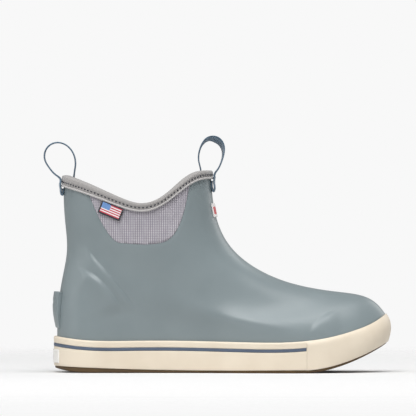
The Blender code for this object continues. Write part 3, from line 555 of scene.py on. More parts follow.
# %% Rubber finishes
def rubber(name, colour, shade, roughness, grain, cloud):
    """Moulded rubber: clouds between two close colours, slow change of gloss, fine grain."""
    made = Finish(name, roughness, IOR=1.5)
    place = made.place()
    patches = made.noise(place, cloud, 3.0)
    made.set("Base Color", patches.ease(0.3, 0.7).mix(shade, colour))
    made.set("Roughness", roughness + (made.noise(place, cloud / 2) - 0.5) * 0.16)
    fine = made.noise(place, 0.9, 3.0) * 0.6 + made.noise(place, 4.0) * 0.4
    made.relief(fine, grain)
    return made


grey_rubber = rubber("grey_rubber", tone(127, 138, 141), tone(122, 133, 136), 0.36, 0.03, 45.0)
white_rubber = rubber("white_rubber", tone(226, 214, 195), tone(220, 207, 187), 0.5, 0.05, 30.0)
badge_rubber = rubber("badge_rubber", tone(238, 236, 232), tone(232, 230, 225), 0.4, 0.03, 12.0)
blue_rubber = rubber("blue_rubber", tone(84, 97, 116), tone(78, 90, 108), 0.5, 0.05, 15.0)
gum_rubber = rubber("gum_rubber", tone(88, 67, 36), tone(76, 57, 31), 0.6, 0.08, 18.0)
print("rubbers ready")

# %% [markdown]
# The rubber upper. It is one shell, thin enough to flex, with a window cut out on each side for
# the stretch panels. Its side has moulded relief: two steps that run down and forward from the
# back of the heel, and one behind the toe. The relief is a distance rule: each step is a line,
# and the wall rises steeply on one side of it and sinks back slowly.

# %% Relief of the upper
UPPER_TURNS, UPPER_ROWS = 520, 112
FAIR_ROUND, FAIR_UP = 6, 8                   # spread of the smoothing, in steps of the grid
CUTTER_REACH = 80.0                          # beyond the boot on both sides
RUBBER_WALL = 1.8
BAND_THICKNESS = 1.4
SHELL_TOP = BAND_THICKNESS + GAP
WINDOW_LINE = [(-128.0, 190.0), (-115.7, 152.8), (-111.0, 141.5), (-104.4, 128.5),
               (-97.0, 118.0), (-92.6, 114.3), (-87.0, 113.2), (-55.5, 113.2), (-49.5, 115.0),
               (-44.0, 119.3), (-38.7, 127.5), (-34.6, 138.5), (-30.0, 159.0), (-25.0, 190.0)]
WINDOW_LIP, LIP_DEPTH = 3.2, 0.7             # the rubber thins to the window over this width
RELIEF_FROM, RELIEF_FADE = 14.0, 12.0        # distance from the boot's middle line
HIGH_STEP = [(-121.5, 113.6), (-112.1, 100.6), (-102.0, 88.9), (-93.2, 78.8), (-86.0, 70.1),
             (-80.0, 61.5), (-76.0, 52.0)]
LOW_STEP = [(-128.7, 93.3), (-119.4, 89.4), (-110.0, 84.0), (-102.2, 77.0), (-95.2, 69.1),
            (-90.4, 61.3), (-86.6, 51.2)]
TOE_STEP = [(74.9, 31.6), (76.6, 38.0), (80.7, 43.9), (87.2, 49.2), (95.4, 53.9), (103.6, 56.2)]


def smooth_line(points, count):
    """Points spread evenly along the smooth path through a few points."""
    return path_spline(points)(np.linspace(0, 1, count))


def from_line(x, z, line):
    """Distance to a line in the side view, positive on its right, and the line's share there."""
    gap_x, gap_z = x[..., None] - line[:, 0], z[..., None] - line[:, 1]
    nearest = np.argmin(gap_x ** 2 + gap_z ** 2, axis=-1)
    pick = nearest[..., None]
    gap_x, gap_z = (np.take_along_axis(gap, pick, -1)[..., 0] for gap in (gap_x, gap_z))
    ahead = unit(np.gradient(line, axis=0))[nearest]
    right = gap_x * ahead[..., 1] - gap_z * ahead[..., 0]
    return np.copysign(np.hypot(gap_x, gap_z), right), nearest / (len(line) - 1)


def moulded_step(x, z, points, height, width, reach=16.0, fade=0.25):
    """Step in the wall: it rises steeply on the right of a line and sinks back over the reach."""
    away, share = from_line(x, z, smooth_line(points, 90))
    inside = np.maximum(away, 0)
    ends = ease(0, 1, share / fade) * ease(0, 1, (1 - share) / fade)
    return height * (1 - np.exp(-inside / width)) * np.exp(-(inside / reach) ** 2) * ends


def faired(points, spread, axis, edge):
    """Grid smoothed along one axis by twice a bell-shaped mean, less the mean of that mean."""
    reach = 3 * spread
    bell = np.exp(-0.5 * (np.arange(-reach, reach + 1) / spread) ** 2)
    extra = {"reflect_type": "odd"} if edge == "reflect" else {}

    def mean(values):
        margin = [(reach, reach) if way == axis else (0, 0) for way in range(3)]
        wide = np.pad(values, margin, mode=edge, **extra)
        return np.apply_along_axis(np.convolve, axis, wide, bell / bell.sum(), mode="valid")

    once = mean(points)
    return 2 * once - mean(once)


window_outline = smooth_line(WINDOW_LINE, 140)


def upper_relief(points):
    """Height of the moulded relief, from the side view of each point."""
    x, z = points[..., 0], points[..., 2]
    swell = (moulded_step(x, z, HIGH_STEP, 2.0, 1.2, reach=12.0)
             + moulded_step(x, z, LOW_STEP, 3.6, 2.8)
             + moulded_step(x, z, TOE_STEP, 1.3, 1.8, fade=0.4))
    near_window = from_line(x, z, window_outline)[0]
    lip = LIP_DEPTH * (1 - np.clip(np.abs(near_window) / WINDOW_LIP, 0, 1)) ** 2
    return (swell - lip) * ease(0, 1, (np.abs(points[..., 1]) - RELIEF_FROM) / RELIEF_FADE)


print("relief lines ready,", len(window_outline), "points round the window")

# %% Shell of the upper, with its windows
def shell_section(turns, outer_rows, offset_out, offset_in):
    """Closed section of a shell at every turn: rows up the outside, and rows down the inside."""
    outside = np.concatenate([[-1.0, -0.5], np.linspace(0, 1, outer_rows) ** 1.05])[:, None]
    rises = np.where(outside < 0, outside, outside * drop_rise(turns, SHELL_TOP))
    inside = np.concatenate([rises[:0:-3], rises[:1]])
    outer = wall_point(turns, rises, offset_out(rises))
    inner = wall_point(turns, inside, offset_in(inside))
    return outer, inner


def window_cutter(name, inset):
    """Prism across the boot with the outline of the windows, smaller by the inset."""
    line = window_outline
    ahead = unit(np.roll(line, -1, axis=0) - np.roll(line, 1, axis=0))
    towards = np.stack([-ahead[:, 1], ahead[:, 0]], -1)
    middle = line.mean(axis=0)
    turned = np.sign(np.sum(towards * (middle - line), axis=1))[:, None]
    line = line + towards * turned * inset
    sides = [np.insert(line, 1, y, axis=1) for y in (-CUTTER_REACH, CUTTER_REACH)]
    return new_bar(name, sides, grey_rubber)


def cut(piece, cutter, operation):
    """Boolean of a piece with a cutter, applied, so that the mesh is final."""
    step = piece.modifiers.new("cut", "BOOLEAN")
    step.object, step.operation, step.solver = cutter, operation, "EXACT"
    graph = bpy.context.evaluated_depsgraph_get()
    done = bpy.data.meshes.new_from_object(piece.evaluated_get(graph))
    piece.modifiers.clear()
    piece.data = done
    bpy.data.objects.remove(cutter)


turns = full_turn(UPPER_TURNS)
outer, inner = shell_section(turns, UPPER_ROWS, lambda r: 0 * r, lambda r: 0 * r - RUBBER_WALL)
outer[2:] = faired(faired(outer[2:], FAIR_ROUND, 1, "wrap"), FAIR_UP, 0, "reflect")
around = np.roll(outer, -1, axis=1) - np.roll(outer, 1, axis=1)
lean = unit(np.cross(around, np.gradient(outer, axis=0)))
outer[2:] += (lean * upper_relief(outer)[..., None])[2:]
upper = new_ring("upper_shell", np.concatenate([outer, inner]), grey_rubber)
cut(upper, window_cutter("window_cutter", 0.0), "DIFFERENCE")
upper.data.set_sharp_from_angle(angle=math.radians(40))
dress(upper, ["rubber_upper"])

# %% [markdown]
# The foxing. A band of white rubber is wrapped round the bottom of the upper and cured onto it.
# It has a rounded top lip and a thin blue stripe let into its face. Its section is drawn once,
# as offsets and heights, and carried round the foot, so the lip follows the toe spring.

# %% Foxing band and stripe
FOXING_THICKNESS = 2.5
FOXING_FACE = GAP + FOXING_THICKNESS
FOXING_SEAM_X = 72.8
SEAM_PLAY = 0.06                             # millimetres left open at each side of the seam
LIP_RADIUS, FOOT_RADIUS = 1.6, 0.6
STRIPE_DROP, STRIPE_HEIGHT, STRIPE_DEPTH, STRIPE_PROUD = 6.0, 2.7, 0.9, 0.2
BUMPER_THICKNESS, BUMPER_FOOT = 5.3, 2.1
seam_turn = turn_at(FOXING_SEAM_X, heel_end, toe_end)
seam_play = SEAM_PLAY / (0.5 * (toe_end - heel_end) * math.sin(seam_turn))


def arc(start, end, count):
    """Cosine and sine of angles in degrees, spread evenly from start to end."""
    angles = np.radians(np.linspace(start, end, count))
    return zip(np.cos(angles), np.sin(angles))


def sole_section(turns, section):
    """Grid of a band round the sole, from offsets with heights or with functions of x."""
    columns = []
    for offset, height in section:
        plan = outline(turns, np.broadcast_to(offset, turns.shape))
        level = height(plan[:, 0]) if callable(height) else height
        columns.append(np.column_stack([plan, level]))
    return np.stack(columns, axis=1)


def new_band(name, turns, section, finish):
    """Closed band round the sole, with the section that a function gives for these turns."""
    return new_bar(name, sole_section(turns, section(turns)), finish)


def foot_x(turns):
    """Where along the boot these turns lie at the foot of the upper."""
    return upper_point(turns, 0.0)[:, 0]


def foxing_section(turns):
    """Foot edge, flat face with its groove, and the round lip."""
    top, foot = rand_z(foot_x(turns)), foxing_z(foot_x(turns))
    face, groove = FOXING_FACE, FOXING_FACE + STRIPE_PROUD - STRIPE_DEPTH
    groove_top, groove_foot = top - STRIPE_DROP + 0.2, top - STRIPE_DROP - STRIPE_HEIGHT - 0.2
    section = [(GAP, foxing_z)]
    for across, up in arc(-90, 0, 4):
        section.append((face - FOOT_RADIUS + FOOT_RADIUS * across - 0.15,
                        lambda x, up=up: foxing_z(x) + FOOT_RADIUS + FOOT_RADIUS * up))
    for share in np.linspace(0.15, 0.9, 5):
        swell = 0.12 * math.sin(math.pi * share)
        section.append((face - 0.15 * (1 - share) + swell, foot + (groove_foot - foot) * share))
    section += [(face, groove_foot - 0.25), (face - 0.2, groove_foot), (groove, groove_foot),
                (groove, groove_top), (face - 0.2, groove_top), (face + 0.05, groove_top + 0.25)]
    for share in (0.35, 0.7):
        section.append((face + 0.15, groove_top + (top - LIP_RADIUS - groove_top) * share))
    lip = face + 0.25 - LIP_RADIUS
    for across, up in arc(0, 90, 8):
        section.append((lip + LIP_RADIUS * across, top - LIP_RADIUS + LIP_RADIUS * up))
    section += [(GAP + 0.35, top - 0.1), (GAP, top - 0.9)]
    return section


BAND_COLUMNS = 300
back_turns = np.linspace(-seam_turn + seam_play, seam_turn - seam_play, BAND_COLUMNS)
foxing = new_band("foxing_wrap", back_turns, foxing_section, white_rubber)
dress(foxing, ["foxing_band"])


def stripe_section(turns):
    """Low rounded inlay in the groove."""
    top = rand_z(foot_x(turns)) - STRIPE_DROP
    face = FOXING_FACE + STRIPE_PROUD
    near, foot = face - STRIPE_DEPTH + 0.05, top - STRIPE_HEIGHT
    return [(near, foot), (face - 0.3, foot), (face - 0.06, foot + 0.25),
            (face, top - STRIPE_HEIGHT / 2),
            (face - 0.06, top - 0.25), (face - 0.3, top), (near, top)]


STRIPE_END = 0.004                           # the inlay stops this turn short of the seam
stripe_turns = np.linspace(-seam_turn + STRIPE_END, seam_turn - STRIPE_END, BAND_COLUMNS)
stripe = new_band("foxing_inlay", stripe_turns, stripe_section, blue_rubber)
dress(stripe, ["foxing_stripe"])

# %% [markdown]
# The toe bumper. At the front the foxing turns into a thick bumper that takes the knocks. Its
# section swells from the band's own thickness at the seam to twice that at the tip, so its
# points are blended between a side section and a tip section.

# %% Toe bumper
def toe_share(turns):
    """0 at the seams, 1 at the tip of the toe."""
    seam = along_share(seam_turn)
    return ease(0, 1, (along_share(turns) - seam) / (1 - seam))


def bumper_section(turns):
    """Side and tip offsets over the height share, blended round the toe."""
    top, foot = rand_z(foot_x(turns)), foxing_z(foot_x(turns))
    heights = [0, 0.25, 0.5, 0.75, 0.92, 1]
    side = spline(heights, FOXING_FACE + np.array([-0.25, 0, 0, 0.1, -0.3, -LIP_RADIUS]))
    tip = spline(heights, [GAP + BUMPER_FOOT, 0.82 * BUMPER_THICKNESS, BUMPER_THICKNESS,
                           0.85 * BUMPER_THICKNESS, 0.5 * BUMPER_THICKNESS, GAP + 0.9])
    section = [(GAP, foxing_z)]
    for share in 1 - (1 - np.linspace(0, 1, 26)) ** 1.6:
        reach = side(share) + (tip(share) - side(share)) * toe_share(turns)
        section.append((reach, foxing_z if share == 0 else foot + (top - foot) * share))
    section.append((GAP, top - 0.4))
    return section


front_turns = np.linspace(seam_turn + seam_play, 2 * math.pi - seam_turn - seam_play, 200)
bumper = new_band("toe_bumper_cap", front_turns, bumper_section, white_rubber)
dress(bumper, ["toe_bumper"])

# %% [markdown]
# The outsole. Deck boots stand on gum rubber with fine zigzag grooves and razor cuts that press
# the water out. The underside is a height field over the outline of the sole: a grid whose
# lines run from the outer to the inner edge, lifted wherever a groove passes. The sides and the
# flat top close it.

# %% Outsole with its tread
OUTSOLE_INSET, CORNER_INSET, LID_INSET = 1.0, 1.2, 3.2
TREAD_DEPTH, TREAD_WIDTH, TREAD_PITCH = 2.0, 2.2, 11.0
TREAD_WAVE, TREAD_AMPLITUDE, TREAD_MARGIN = 22.0, 3.5, 7.0
CUT_DEPTH, CUT_WIDTH = 0.7, 0.7              # razor cuts between the grooves
HEEL_TREAD, FORE_TREAD = (-128.0, -62.0), (26.0, 92.0)
LID_PLAY = 0.05                              # between the outsole's top and the foxing's foot


def tread_lift(x, y, edge_distance):
    """How far the underside is lifted: deep zigzag grooves, and shallow cuts between them."""
    sway = np.abs(((y / TREAD_WAVE) % 1) - 0.5) * 4 - 1
    lift = np.zeros_like(x)
    for first, last in (HEEL_TREAD, FORE_TREAD):
        phase = (x - first - TREAD_AMPLITUDE * sway) / TREAD_PITCH
        nearest = np.round(phase)
        inside = (nearest > -0.5) & (nearest < (last - first) / TREAD_PITCH + 0.5)
        away = np.abs(phase - nearest) * TREAD_PITCH
        groove = TREAD_DEPTH * ease(1, 0, (away - TREAD_WIDTH / 2 + 0.3) / 0.6)
        between = np.abs(phase - np.floor(phase) - 0.5) * TREAD_PITCH
        blade = CUT_DEPTH * ease(1, 0, (between - CUT_WIDTH / 2) / 0.5)
        lift = np.maximum(lift, np.where(inside, np.maximum(groove, blade), 0))
    return lift * ease(0, 1, (edge_distance - TREAD_MARGIN + 2.5) / 1.5)


HALF_TURNS, SOLE_ACROSS, END_TURN = 520, 80, 0.02
half_turns = np.linspace(END_TURN, math.pi - END_TURN, HALF_TURNS)
toe_swell = (BUMPER_FOOT - FOXING_THICKNESS) * toe_share(half_turns)
edge_offset = FOXING_FACE + toe_swell - OUTSOLE_INSET
near_edge = outline(half_turns, edge_offset - CORNER_INSET)
far_edge = outline(-half_turns, edge_offset - CORNER_INSET)
across = np.linspace(0, 1, SOLE_ACROSS)[None, :, None]
plan = near_edge[:, None] * (1 - across) + far_edge[:, None] * across
width = np.linalg.norm(far_edge - near_edge, axis=-1)[:, None]
side_distance = np.minimum(across[..., 0], 1 - across[..., 0]) * width
under = ground_z(plan[..., 0]) + tread_lift(plan[..., 0], plan[..., 1], side_distance)


def sole_wall(turns, edge):
    """Columns up the edge of the outsole: a rounded bottom corner, then the straight wall."""
    rows = []
    for inset, share in ((0.55, 0.1), (0.15, 0.22), (0.0, 0.38), (0.0, 0.7), (0.12, 1.0)):
        spot = outline(turns, edge - inset)
        foot, top = ground_z(spot[:, 0]), foxing_z(spot[:, 0]) - LID_PLAY
        rows.append(np.column_stack([spot, foot + (top - foot) * share]))
    lid = outline(turns, edge - LID_INSET)
    rows.append(np.column_stack([lid, foxing_z(lid[:, 0]) - LID_PLAY]))
    return np.stack(rows, axis=1)


near_wall, far_wall = sole_wall(half_turns, edge_offset), sole_wall(-half_turns, edge_offset)
underside = np.dstack([plan, under])
sole_rows = np.concatenate([near_wall[:, ::-1], underside, far_wall], axis=1)
outsole = new_bar("gum_outsole", sole_rows, gum_rubber, smooth=50)
dress(outsole, ["outsole"])

# %% [markdown]
# Plates and tabs. The badge at the back, the kick tab and the label round the shin are all
# thin pieces on the wall. Each is two sheets that follow the surface: the near one sits on the
# wall, and the far one stands off it and rounds down to it near the border.

# %% Plates on the wall
def crowded(count):
    """Shares from 0 to 1, close together at both ends."""
    return along_share(np.linspace(0, math.pi, count))


def turns_across(middle, rise, width, columns):
    """Turns on both sides of the heel (0) or toe (pi) line that span a width."""
    tries = np.linspace(0, 1.0, 400)
    away = upper_point(middle + tries, rise)[:, 1]
    reach = np.interp(width / 2, np.abs(away - away[0]), tries)
    return middle + reach * (2 * crowded(columns) - 1)


def rises_for_heights(middle, heights):
    """Rises on the heel or toe line at the given heights."""
    tries = np.linspace(0, 1, 600)
    return np.interp(heights, upper_point(middle, tries)[:, 2], tries)


def rounded(rows, columns, size, radius):
    """Share of a plate's thickness: 1 inside, rounding off to 0 within a radius of its border."""
    u = size[0] * crowded(rows)[:, None]
    v = size[1] * crowded(columns)[None, :]
    near = np.minimum(np.minimum(u, size[0] - u), np.minimum(v, size[1] - v))
    inside = 1 - np.clip(near / radius, 0, 1)
    return np.sqrt(np.clip(1 - inside ** 2, 0, 1))


def close_sheets(far, near):
    """One grid round both sheets: the far one, then the near one backwards."""
    return np.concatenate([far, near[:, ::-1]], axis=1)


def new_plate(name, far, near, finish):
    """Closed plate between two sheets."""
    return new_bar(name, close_sheets(far, near), finish)


BADGE_WIDTH, BADGE_HEIGHT, BADGE_DROP, BADGE_THICKNESS = 36.0, 12.0, 11.5, 0.8
BADGE_ROWS, BADGE_COLUMNS = 24, 60
FRAME_WIDTH, FRAME_HEIGHT = 2.2, 0.25        # raised border of the badge
badge_size = (BADGE_HEIGHT, BADGE_WIDTH)
badge_turns = turns_across(0.0, 0.0, BADGE_WIDTH, BADGE_COLUMNS)
badge_shape = rounded(BADGE_ROWS, BADGE_COLUMNS, badge_size, 0.7)


def badge_sheet(offsets):
    """Sheet behind the heel, under the stripe."""
    rows = []
    for share, row in zip(crowded(BADGE_ROWS), offsets):
        plan = outline(badge_turns, row)
        height = rand_z(plan[:, 0]) - BADGE_DROP - BADGE_HEIGHT * (1 - share)
        rows.append(np.column_stack([plan, height]))
    return np.array(rows)


badge_near = FOXING_FACE + GAP / 2
badge_frame = FRAME_HEIGHT * (rounded(BADGE_ROWS, BADGE_COLUMNS, badge_size, FRAME_WIDTH) < 0.97)
badge_swell = (BADGE_THICKNESS - 0.2) * badge_shape + badge_frame * badge_shape
badge = new_plate("heel_badge_plate", badge_sheet(badge_near + badge_swell),
                  badge_sheet(badge_near + 0 * badge_shape), badge_rubber)
dress(badge, ["heel_badge"])

KICK_WIDTH, KICK_FOOT, KICK_HEIGHT = 27.0, 39.0, 31.5
KICK_ROWS, KICK_COLUMNS = 40, 48
KICK_DEPTHS = (1.0, 2.8, 4.3, 5.0, 5.0)      # from its foot to its top
KICK_SIDE_LOSS = 0.35                        # share of the depth lost at both sides
GROOVE_UP, GROOVE_DEPTH, GROOVE_WIDTH = 22.0, 0.35, 1.2
kick_up = crowded(KICK_ROWS)
kick_rises = rises_for_heights(0.0, KICK_FOOT + KICK_HEIGHT * kick_up)
kick_turns = turns_across(0.0, kick_rises[KICK_ROWS // 2], KICK_WIDTH, KICK_COLUMNS)
kick_side = np.abs(kick_turns) / np.abs(kick_turns).max()
kick_depth = spline(np.linspace(0, 1, len(KICK_DEPTHS)), KICK_DEPTHS)(kick_up)[:, None]
kick_depth = kick_depth * (1 - KICK_SIDE_LOSS * kick_side ** 2)
groove = GROOVE_DEPTH * np.exp(-((KICK_HEIGHT * kick_up[:, None] - GROOVE_UP) / GROOVE_WIDTH) ** 2)
kick_shape = rounded(KICK_ROWS, KICK_COLUMNS, (KICK_HEIGHT, KICK_WIDTH), 0.4)
kick_far = wall_point(kick_turns, kick_rises[:, None], GAP + (kick_depth - groove) * kick_shape)
kick_near = wall_point(kick_turns, kick_rises[:, None], GAP / 3)
kick = new_plate("kick_ledge", kick_far, kick_near, grey_rubber)
dress(kick, ["heel_kick_tab"])

# %% [markdown]
# Gore panels. The shaft has to stretch over the heel, so a window on each side is filled with a
# knitted elastic panel: close vertical ribs with a finer yarn across. The ribs are real shape,
# because they run one way only and need few rows; the cross yarn is relief in the finish.

# %% Gore finish and panels
RIB_PITCH, YARN_PITCH = 1.9, 2.1
gore_mesh = Finish("gore_mesh", 0.85, Sheen_Weight=0.25)
where = gore_mesh.place()
rib_line = gore_mesh.wave(where.axis("X"), RIB_PITCH)
yarn_line = gore_mesh.wave(where.axis("Z"), YARN_PITCH)
patch_tone = gore_mesh.noise(where, 6.0).ease(0.3, 0.7).mix(tone(176, 172, 179), tone(190, 186, 192))
raised = rib_line.ease(0.05, 0.5) * (yarn_line.ease(0.0, 0.5) * 0.5 + 0.5)
gore_mesh.set("Base Color", raised.mix(tone(134, 130, 140), patch_tone))
gore_mesh.relief(rib_line * 0.6 + yarn_line * 0.4, 0.25)

GORE_RECESS, GORE_FOOT = 0.55, 0.5           # depth in the rubber; rise where the panel starts
GORE_BACK, GORE_FRONT, GORE_COLUMNS, GORE_ROWS = -127.0, -29.0, 380, 26
RIB_HEIGHT = 0.08


def gore_sheet(turns, rises, offset):
    """Panel surface with one rib to each pitch along the boot."""
    points = wall_point(turns, rises, offset)
    rib = np.cos(points[..., 0] * 2 * math.pi / RIB_PITCH)
    return points + upper_normal(turns, rises) * (RIB_HEIGHT * rib[..., None])


gore_ends = [turn_at(x, collar_back, collar_front) for x in (GORE_BACK, GORE_FRONT)]
gore_turns = np.linspace(*gore_ends, GORE_COLUMNS)
gore_rises = np.linspace(GORE_FOOT, 1, GORE_ROWS)[:, None]
for side_name, panel_turns in (("lateral", gore_turns), ("medial", 2 * math.pi - gore_turns[::-1])):
    panel_rises = gore_rises * drop_rise(panel_turns, SHELL_TOP + 0.1)
    panel = new_plate("stretch_gore_" + side_name,
                      gore_sheet(panel_turns, panel_rises, -GORE_RECESS),
                      wall_point(panel_turns, panel_rises, -RUBBER_WALL), gore_mesh)
    cut(panel, window_cutter("gore_cutter", 0.12), "INTERSECT")
    dress(panel, ["gore_panel_" + side_name])

# %% [markdown]
# Collar. A strip of knitted tape is folded over the raw edge of rubber and lining and sewn
# through, with a round piping along its lower edge. The thread pulls the tape in, so the tape
# bulges between edge and seam and dips a little deeper at each stitch.

# %% Collar tape, piping and stitches
BAND_HEEL, BAND_DIP, BAND_FRONT, BAND_INSIDE, BAND_PLAY = 8.2, 5.7, 5.9, 10.0, 0.6
PIPING_DIAMETER, THREAD_PLACE, THREAD_PULL = 2.0, 0.74, 0.2
LINING_OUTSIDE, LINING_WALL = RUBBER_WALL + GAP + 0.1, 2.5
LINING_INSIDE = LINING_OUTSIDE + LINING_WALL
STITCH_PITCH, STITCH_SHARE, STITCH_YARN = 3.5, 0.6, 0.95
COLLAR_TURNS = 600
FOLD_HEIGHT = 1.3                            # the tape turns over within this of its top


def woven(name, face, shade, pitch, depth, roughness=0.85):
    """Knitted or woven cloth: two waves along and across the piece, over soft colour patches."""
    made = Finish(name, roughness, Sheen_Weight=0.3)
    along, over = made.cloth().axis("X"), made.cloth().axis("Y")
    weave = made.wave(along + over * 0.5, pitch) * 0.5 + made.wave(over, pitch) * 0.5
    fuzz = made.noise(made.place(), 2.5)
    made.set("Base Color", (weave * 0.7 + fuzz * 0.3).ease(0.1, 0.7).mix(shade, face))
    made.relief(weave * 0.8 + fuzz * 0.2, depth)
    return made


collar_fabric = woven("collar_fabric", tone(156, 153, 151), tone(142, 139, 138), 0.7, 0.08)
piping_fabric = woven("piping_fabric", tone(190, 187, 186), tone(165, 162, 161), 0.8, 0.12)
thread = Finish("thread", 0.6)
twist = thread.wave(thread.cloth().axis("X") + thread.cloth().axis("Y"), 0.5)
thread.set("Base Color", twist.mix(tone(26, 28, 38), tone(52, 54, 68)))
thread.relief(twist, 0.06)


def band_depth(turns):
    """Depth of the tape's outer face: least at the dip on each side."""
    return spline([0, 0.5, 1], [BAND_HEEL, BAND_DIP, BAND_FRONT])(along_share(turns))


def collar_grid(turns, section):
    """Grid round the collar; each point of the section is an offset and a drop below the edge."""
    return np.stack([collar_point(turns, drop, offset) for offset, drop in section], axis=1)


collar_turns = full_turn(COLLAR_TURNS)
depth = band_depth(collar_turns)
level = 0 * depth
outside = GAP + BAND_THICKNESS
inside = -(LINING_INSIDE + BAND_PLAY)
seam_line = collar_point(collar_turns, THREAD_PLACE * depth, outside)
collar_run = running(seam_line[None], 1, True)
stitch_count = int(round(collar_run[-1] / STITCH_PITCH))
stitch_phase = collar_run[:-1] / collar_run[-1] * stitch_count
pull = THREAD_PULL * (0.75 + 0.25 * np.cos(2 * math.pi * (stitch_phase - 0.5)))
inner_face = inside - BAND_THICKNESS
fold = (outside - inner_face) / 2
tape = [(GAP, depth - 0.1), (GAP + 0.5, depth),
        (outside - 0.25, depth), (outside - 0.02, depth - 0.35), (outside, 0.92 * depth),
        (outside - 0.55 * pull, 0.83 * depth), (outside - pull, THREAD_PLACE * depth),
        (outside - 0.5 * pull, 0.66 * depth), (outside + 0.16, 0.57 * depth),
        (outside + 0.3, 0.45 * depth), (outside + 0.26, 0.33 * depth),
        (outside + 0.05, level + FOLD_HEIGHT)]
for out_share, up_share in arc(0, 180, 12):
    drop = level + FOLD_HEIGHT - 1.15 * abs(up_share) ** 0.8
    tape.append(((outside + inner_face) / 2 + fold * out_share, drop))
tape += [(inner_face - 0.15, level + 4.0), (inner_face - 0.1, level + 7.0),
         (inner_face, level + BAND_INSIDE - 0.3), (inner_face + 0.3, level + BAND_INSIDE),
         (inside, level + BAND_INSIDE), (inside, level + 6.0),
         (inside, level + SHELL_TOP - 0.2), (GAP, level + SHELL_TOP - 0.2)]
collar = new_ring("collar_tape", collar_grid(collar_turns, tape), collar_fabric)
dress(collar, ["collar_band"])

piping_radius = PIPING_DIAMETER / 2
piping_section = [(GAP + piping_radius * (1 + c) - 0.05, depth + 0.15 + piping_radius * (1 + s))
                  for c, s in arc(0, 330, 12)]
piping = new_ring("collar_piping_cord", collar_grid(collar_turns, piping_section), piping_fabric)
dress(piping, ["collar_piping"])


def stitch_grids(count, span, steps=7, sides=6):
    """Points of every stitch: a bead along the seam, thick in its middle, low at its ends."""
    along = np.linspace(-0.5, 0.5, steps)
    places = (np.arange(count)[:, None] + 0.5 + along * span) / count * collar_run[-1]
    spots = np.interp(places, collar_run, np.append(collar_turns, 2 * math.pi))
    arch = 1 - (2 * along) ** 4
    radius = STITCH_YARN / 2 * np.maximum(arch, 0.25)
    centre = outside - THREAD_PULL + 0.05 + 0.3 * arch
    drop = THREAD_PLACE * band_depth(spots)
    return np.stack([collar_point(spots, drop + 1.25 * radius * s, centre + radius * c)
                     for c, s in arc(0, 300, sides)], axis=2)


BEAD_CLOTH = (0.4, 0.3)                      # millimetres of a stitch's yarn from point to point


def new_beads(name, grids, finish):
    """Many small closed tubes as one mesh."""
    count, rows, columns = grids.shape[:3]
    at_row, at_column = grid_corners(rows, columns, False, True)
    quads = at_row * columns + at_column % columns
    starts = (np.arange(count) * rows * columns)[:, None, None]
    faces = (quads[None] + starts).reshape(-1, 4).tolist()
    for start in starts.ravel().tolist():
        faces.append(list(range(start, start + columns))[::-1])
        faces.append(list(range(start + (rows - 1) * columns, start + rows * columns)))
    cloth = np.tile(np.column_stack([at_row.ravel(), at_column.ravel()]), (count, 1))
    return new_mesh(name, grids.reshape(-1, 3), faces, cloth * BEAD_CLOTH, finish)


stitches = new_beads("collar_stitches", stitch_grids(stitch_count, STITCH_SHARE), thread)
dress(stitches, ["collar_stitch_thread"])
print(stitch_count, "stitches")

# %% [markdown]
# Lining and footbed. Inside the rubber sits a sock of dark foam covered with knit, and on the
# board at its bottom lies a footbed that lifts out, cupped round the heel. Both are seen only
# through the collar, but from above they are what fills the view.

# %% Lining and footbed
STIFFENER_WALL, FOOTBED_PLAY = 1.2, 0.6
FOOTBED_HEEL, FOOTBED_FRONT = 6.0, 3.5
CUP_HEIGHT, CUP_LENGTH, CUP_SLOPE, CUP_RIM = 5.0, 0.62, 11.0, 2.2
LINING_FOOT = RUBBER_WALL + GAP + STIFFENER_WALL + 2 * GAP
SOCK_TURNS, SOCK_ROWS = 240, 70
BED_TURNS, BED_ACROSS, BED_END_TURN = 150, 24, 0.03
lining_foam = woven("lining_foam", tone(74, 80, 86), tone(52, 57, 62), 1.3, 0.25, 0.95)
footbed_foam = woven("footbed_foam", tone(76, 92, 110), tone(54, 67, 82), 1.6, 0.3, 0.95)


def lining_offset(rise):
    """Depth of the lining's outer face: deeper round the foot, where the stiffeners lie."""
    return -ease(LINING_FOOT, LINING_OUTSIDE, (rise - 0.32) / 0.18)


def lining_inside(rise):
    """Depth of the lining's inner face."""
    return lining_offset(rise) - LINING_WALL


sock_faces = shell_section(full_turn(SOCK_TURNS), SOCK_ROWS, lining_offset, lining_inside)
sock = new_ring("lining_sock", np.concatenate(sock_faces), lining_foam)
dress(sock, ["lining"])

bed_edge = -(LINING_FOOT + LINING_WALL) - FOOTBED_PLAY
foot_length = toe_end - heel_end


def bed_under(x):
    """Underside of the footbed, on the board."""
    return feather_z(x) + BOARD_THICKNESS + GAP


def bed_top(x):
    """Upper face of the footbed: thick at the heel, thin at the toe."""
    return bed_under(x) + ease(FOOTBED_HEEL, FOOTBED_FRONT, (x - heel_end) / foot_length)


def bed_cup(x):
    """Height of the rim above the middle."""
    return CUP_HEIGHT * (1 - np.clip((x - heel_end) / (CUP_LENGTH * foot_length), 0, 1) ** 2)


def bed_row(turns):
    """From under the edge, up the side, over the rim and down its slope."""
    rows = [(bed_edge - 1.0, bed_under), (bed_edge, lambda x: bed_under(x) + 1.0),
            (bed_edge - 0.1, lambda x: bed_top(x) + bed_cup(x) - 0.8),
            (bed_edge - 0.9, lambda x: bed_top(x) + bed_cup(x) - 0.1)]
    for share in np.linspace(0, 1, 8):
        inset = CUP_RIM + (CUP_SLOPE - CUP_RIM) * share
        rim = ease(1, 0, share)
        rows.append((bed_edge - inset, lambda x, rim=rim: bed_top(x) + bed_cup(x) * rim))
    return sole_section(turns, rows)


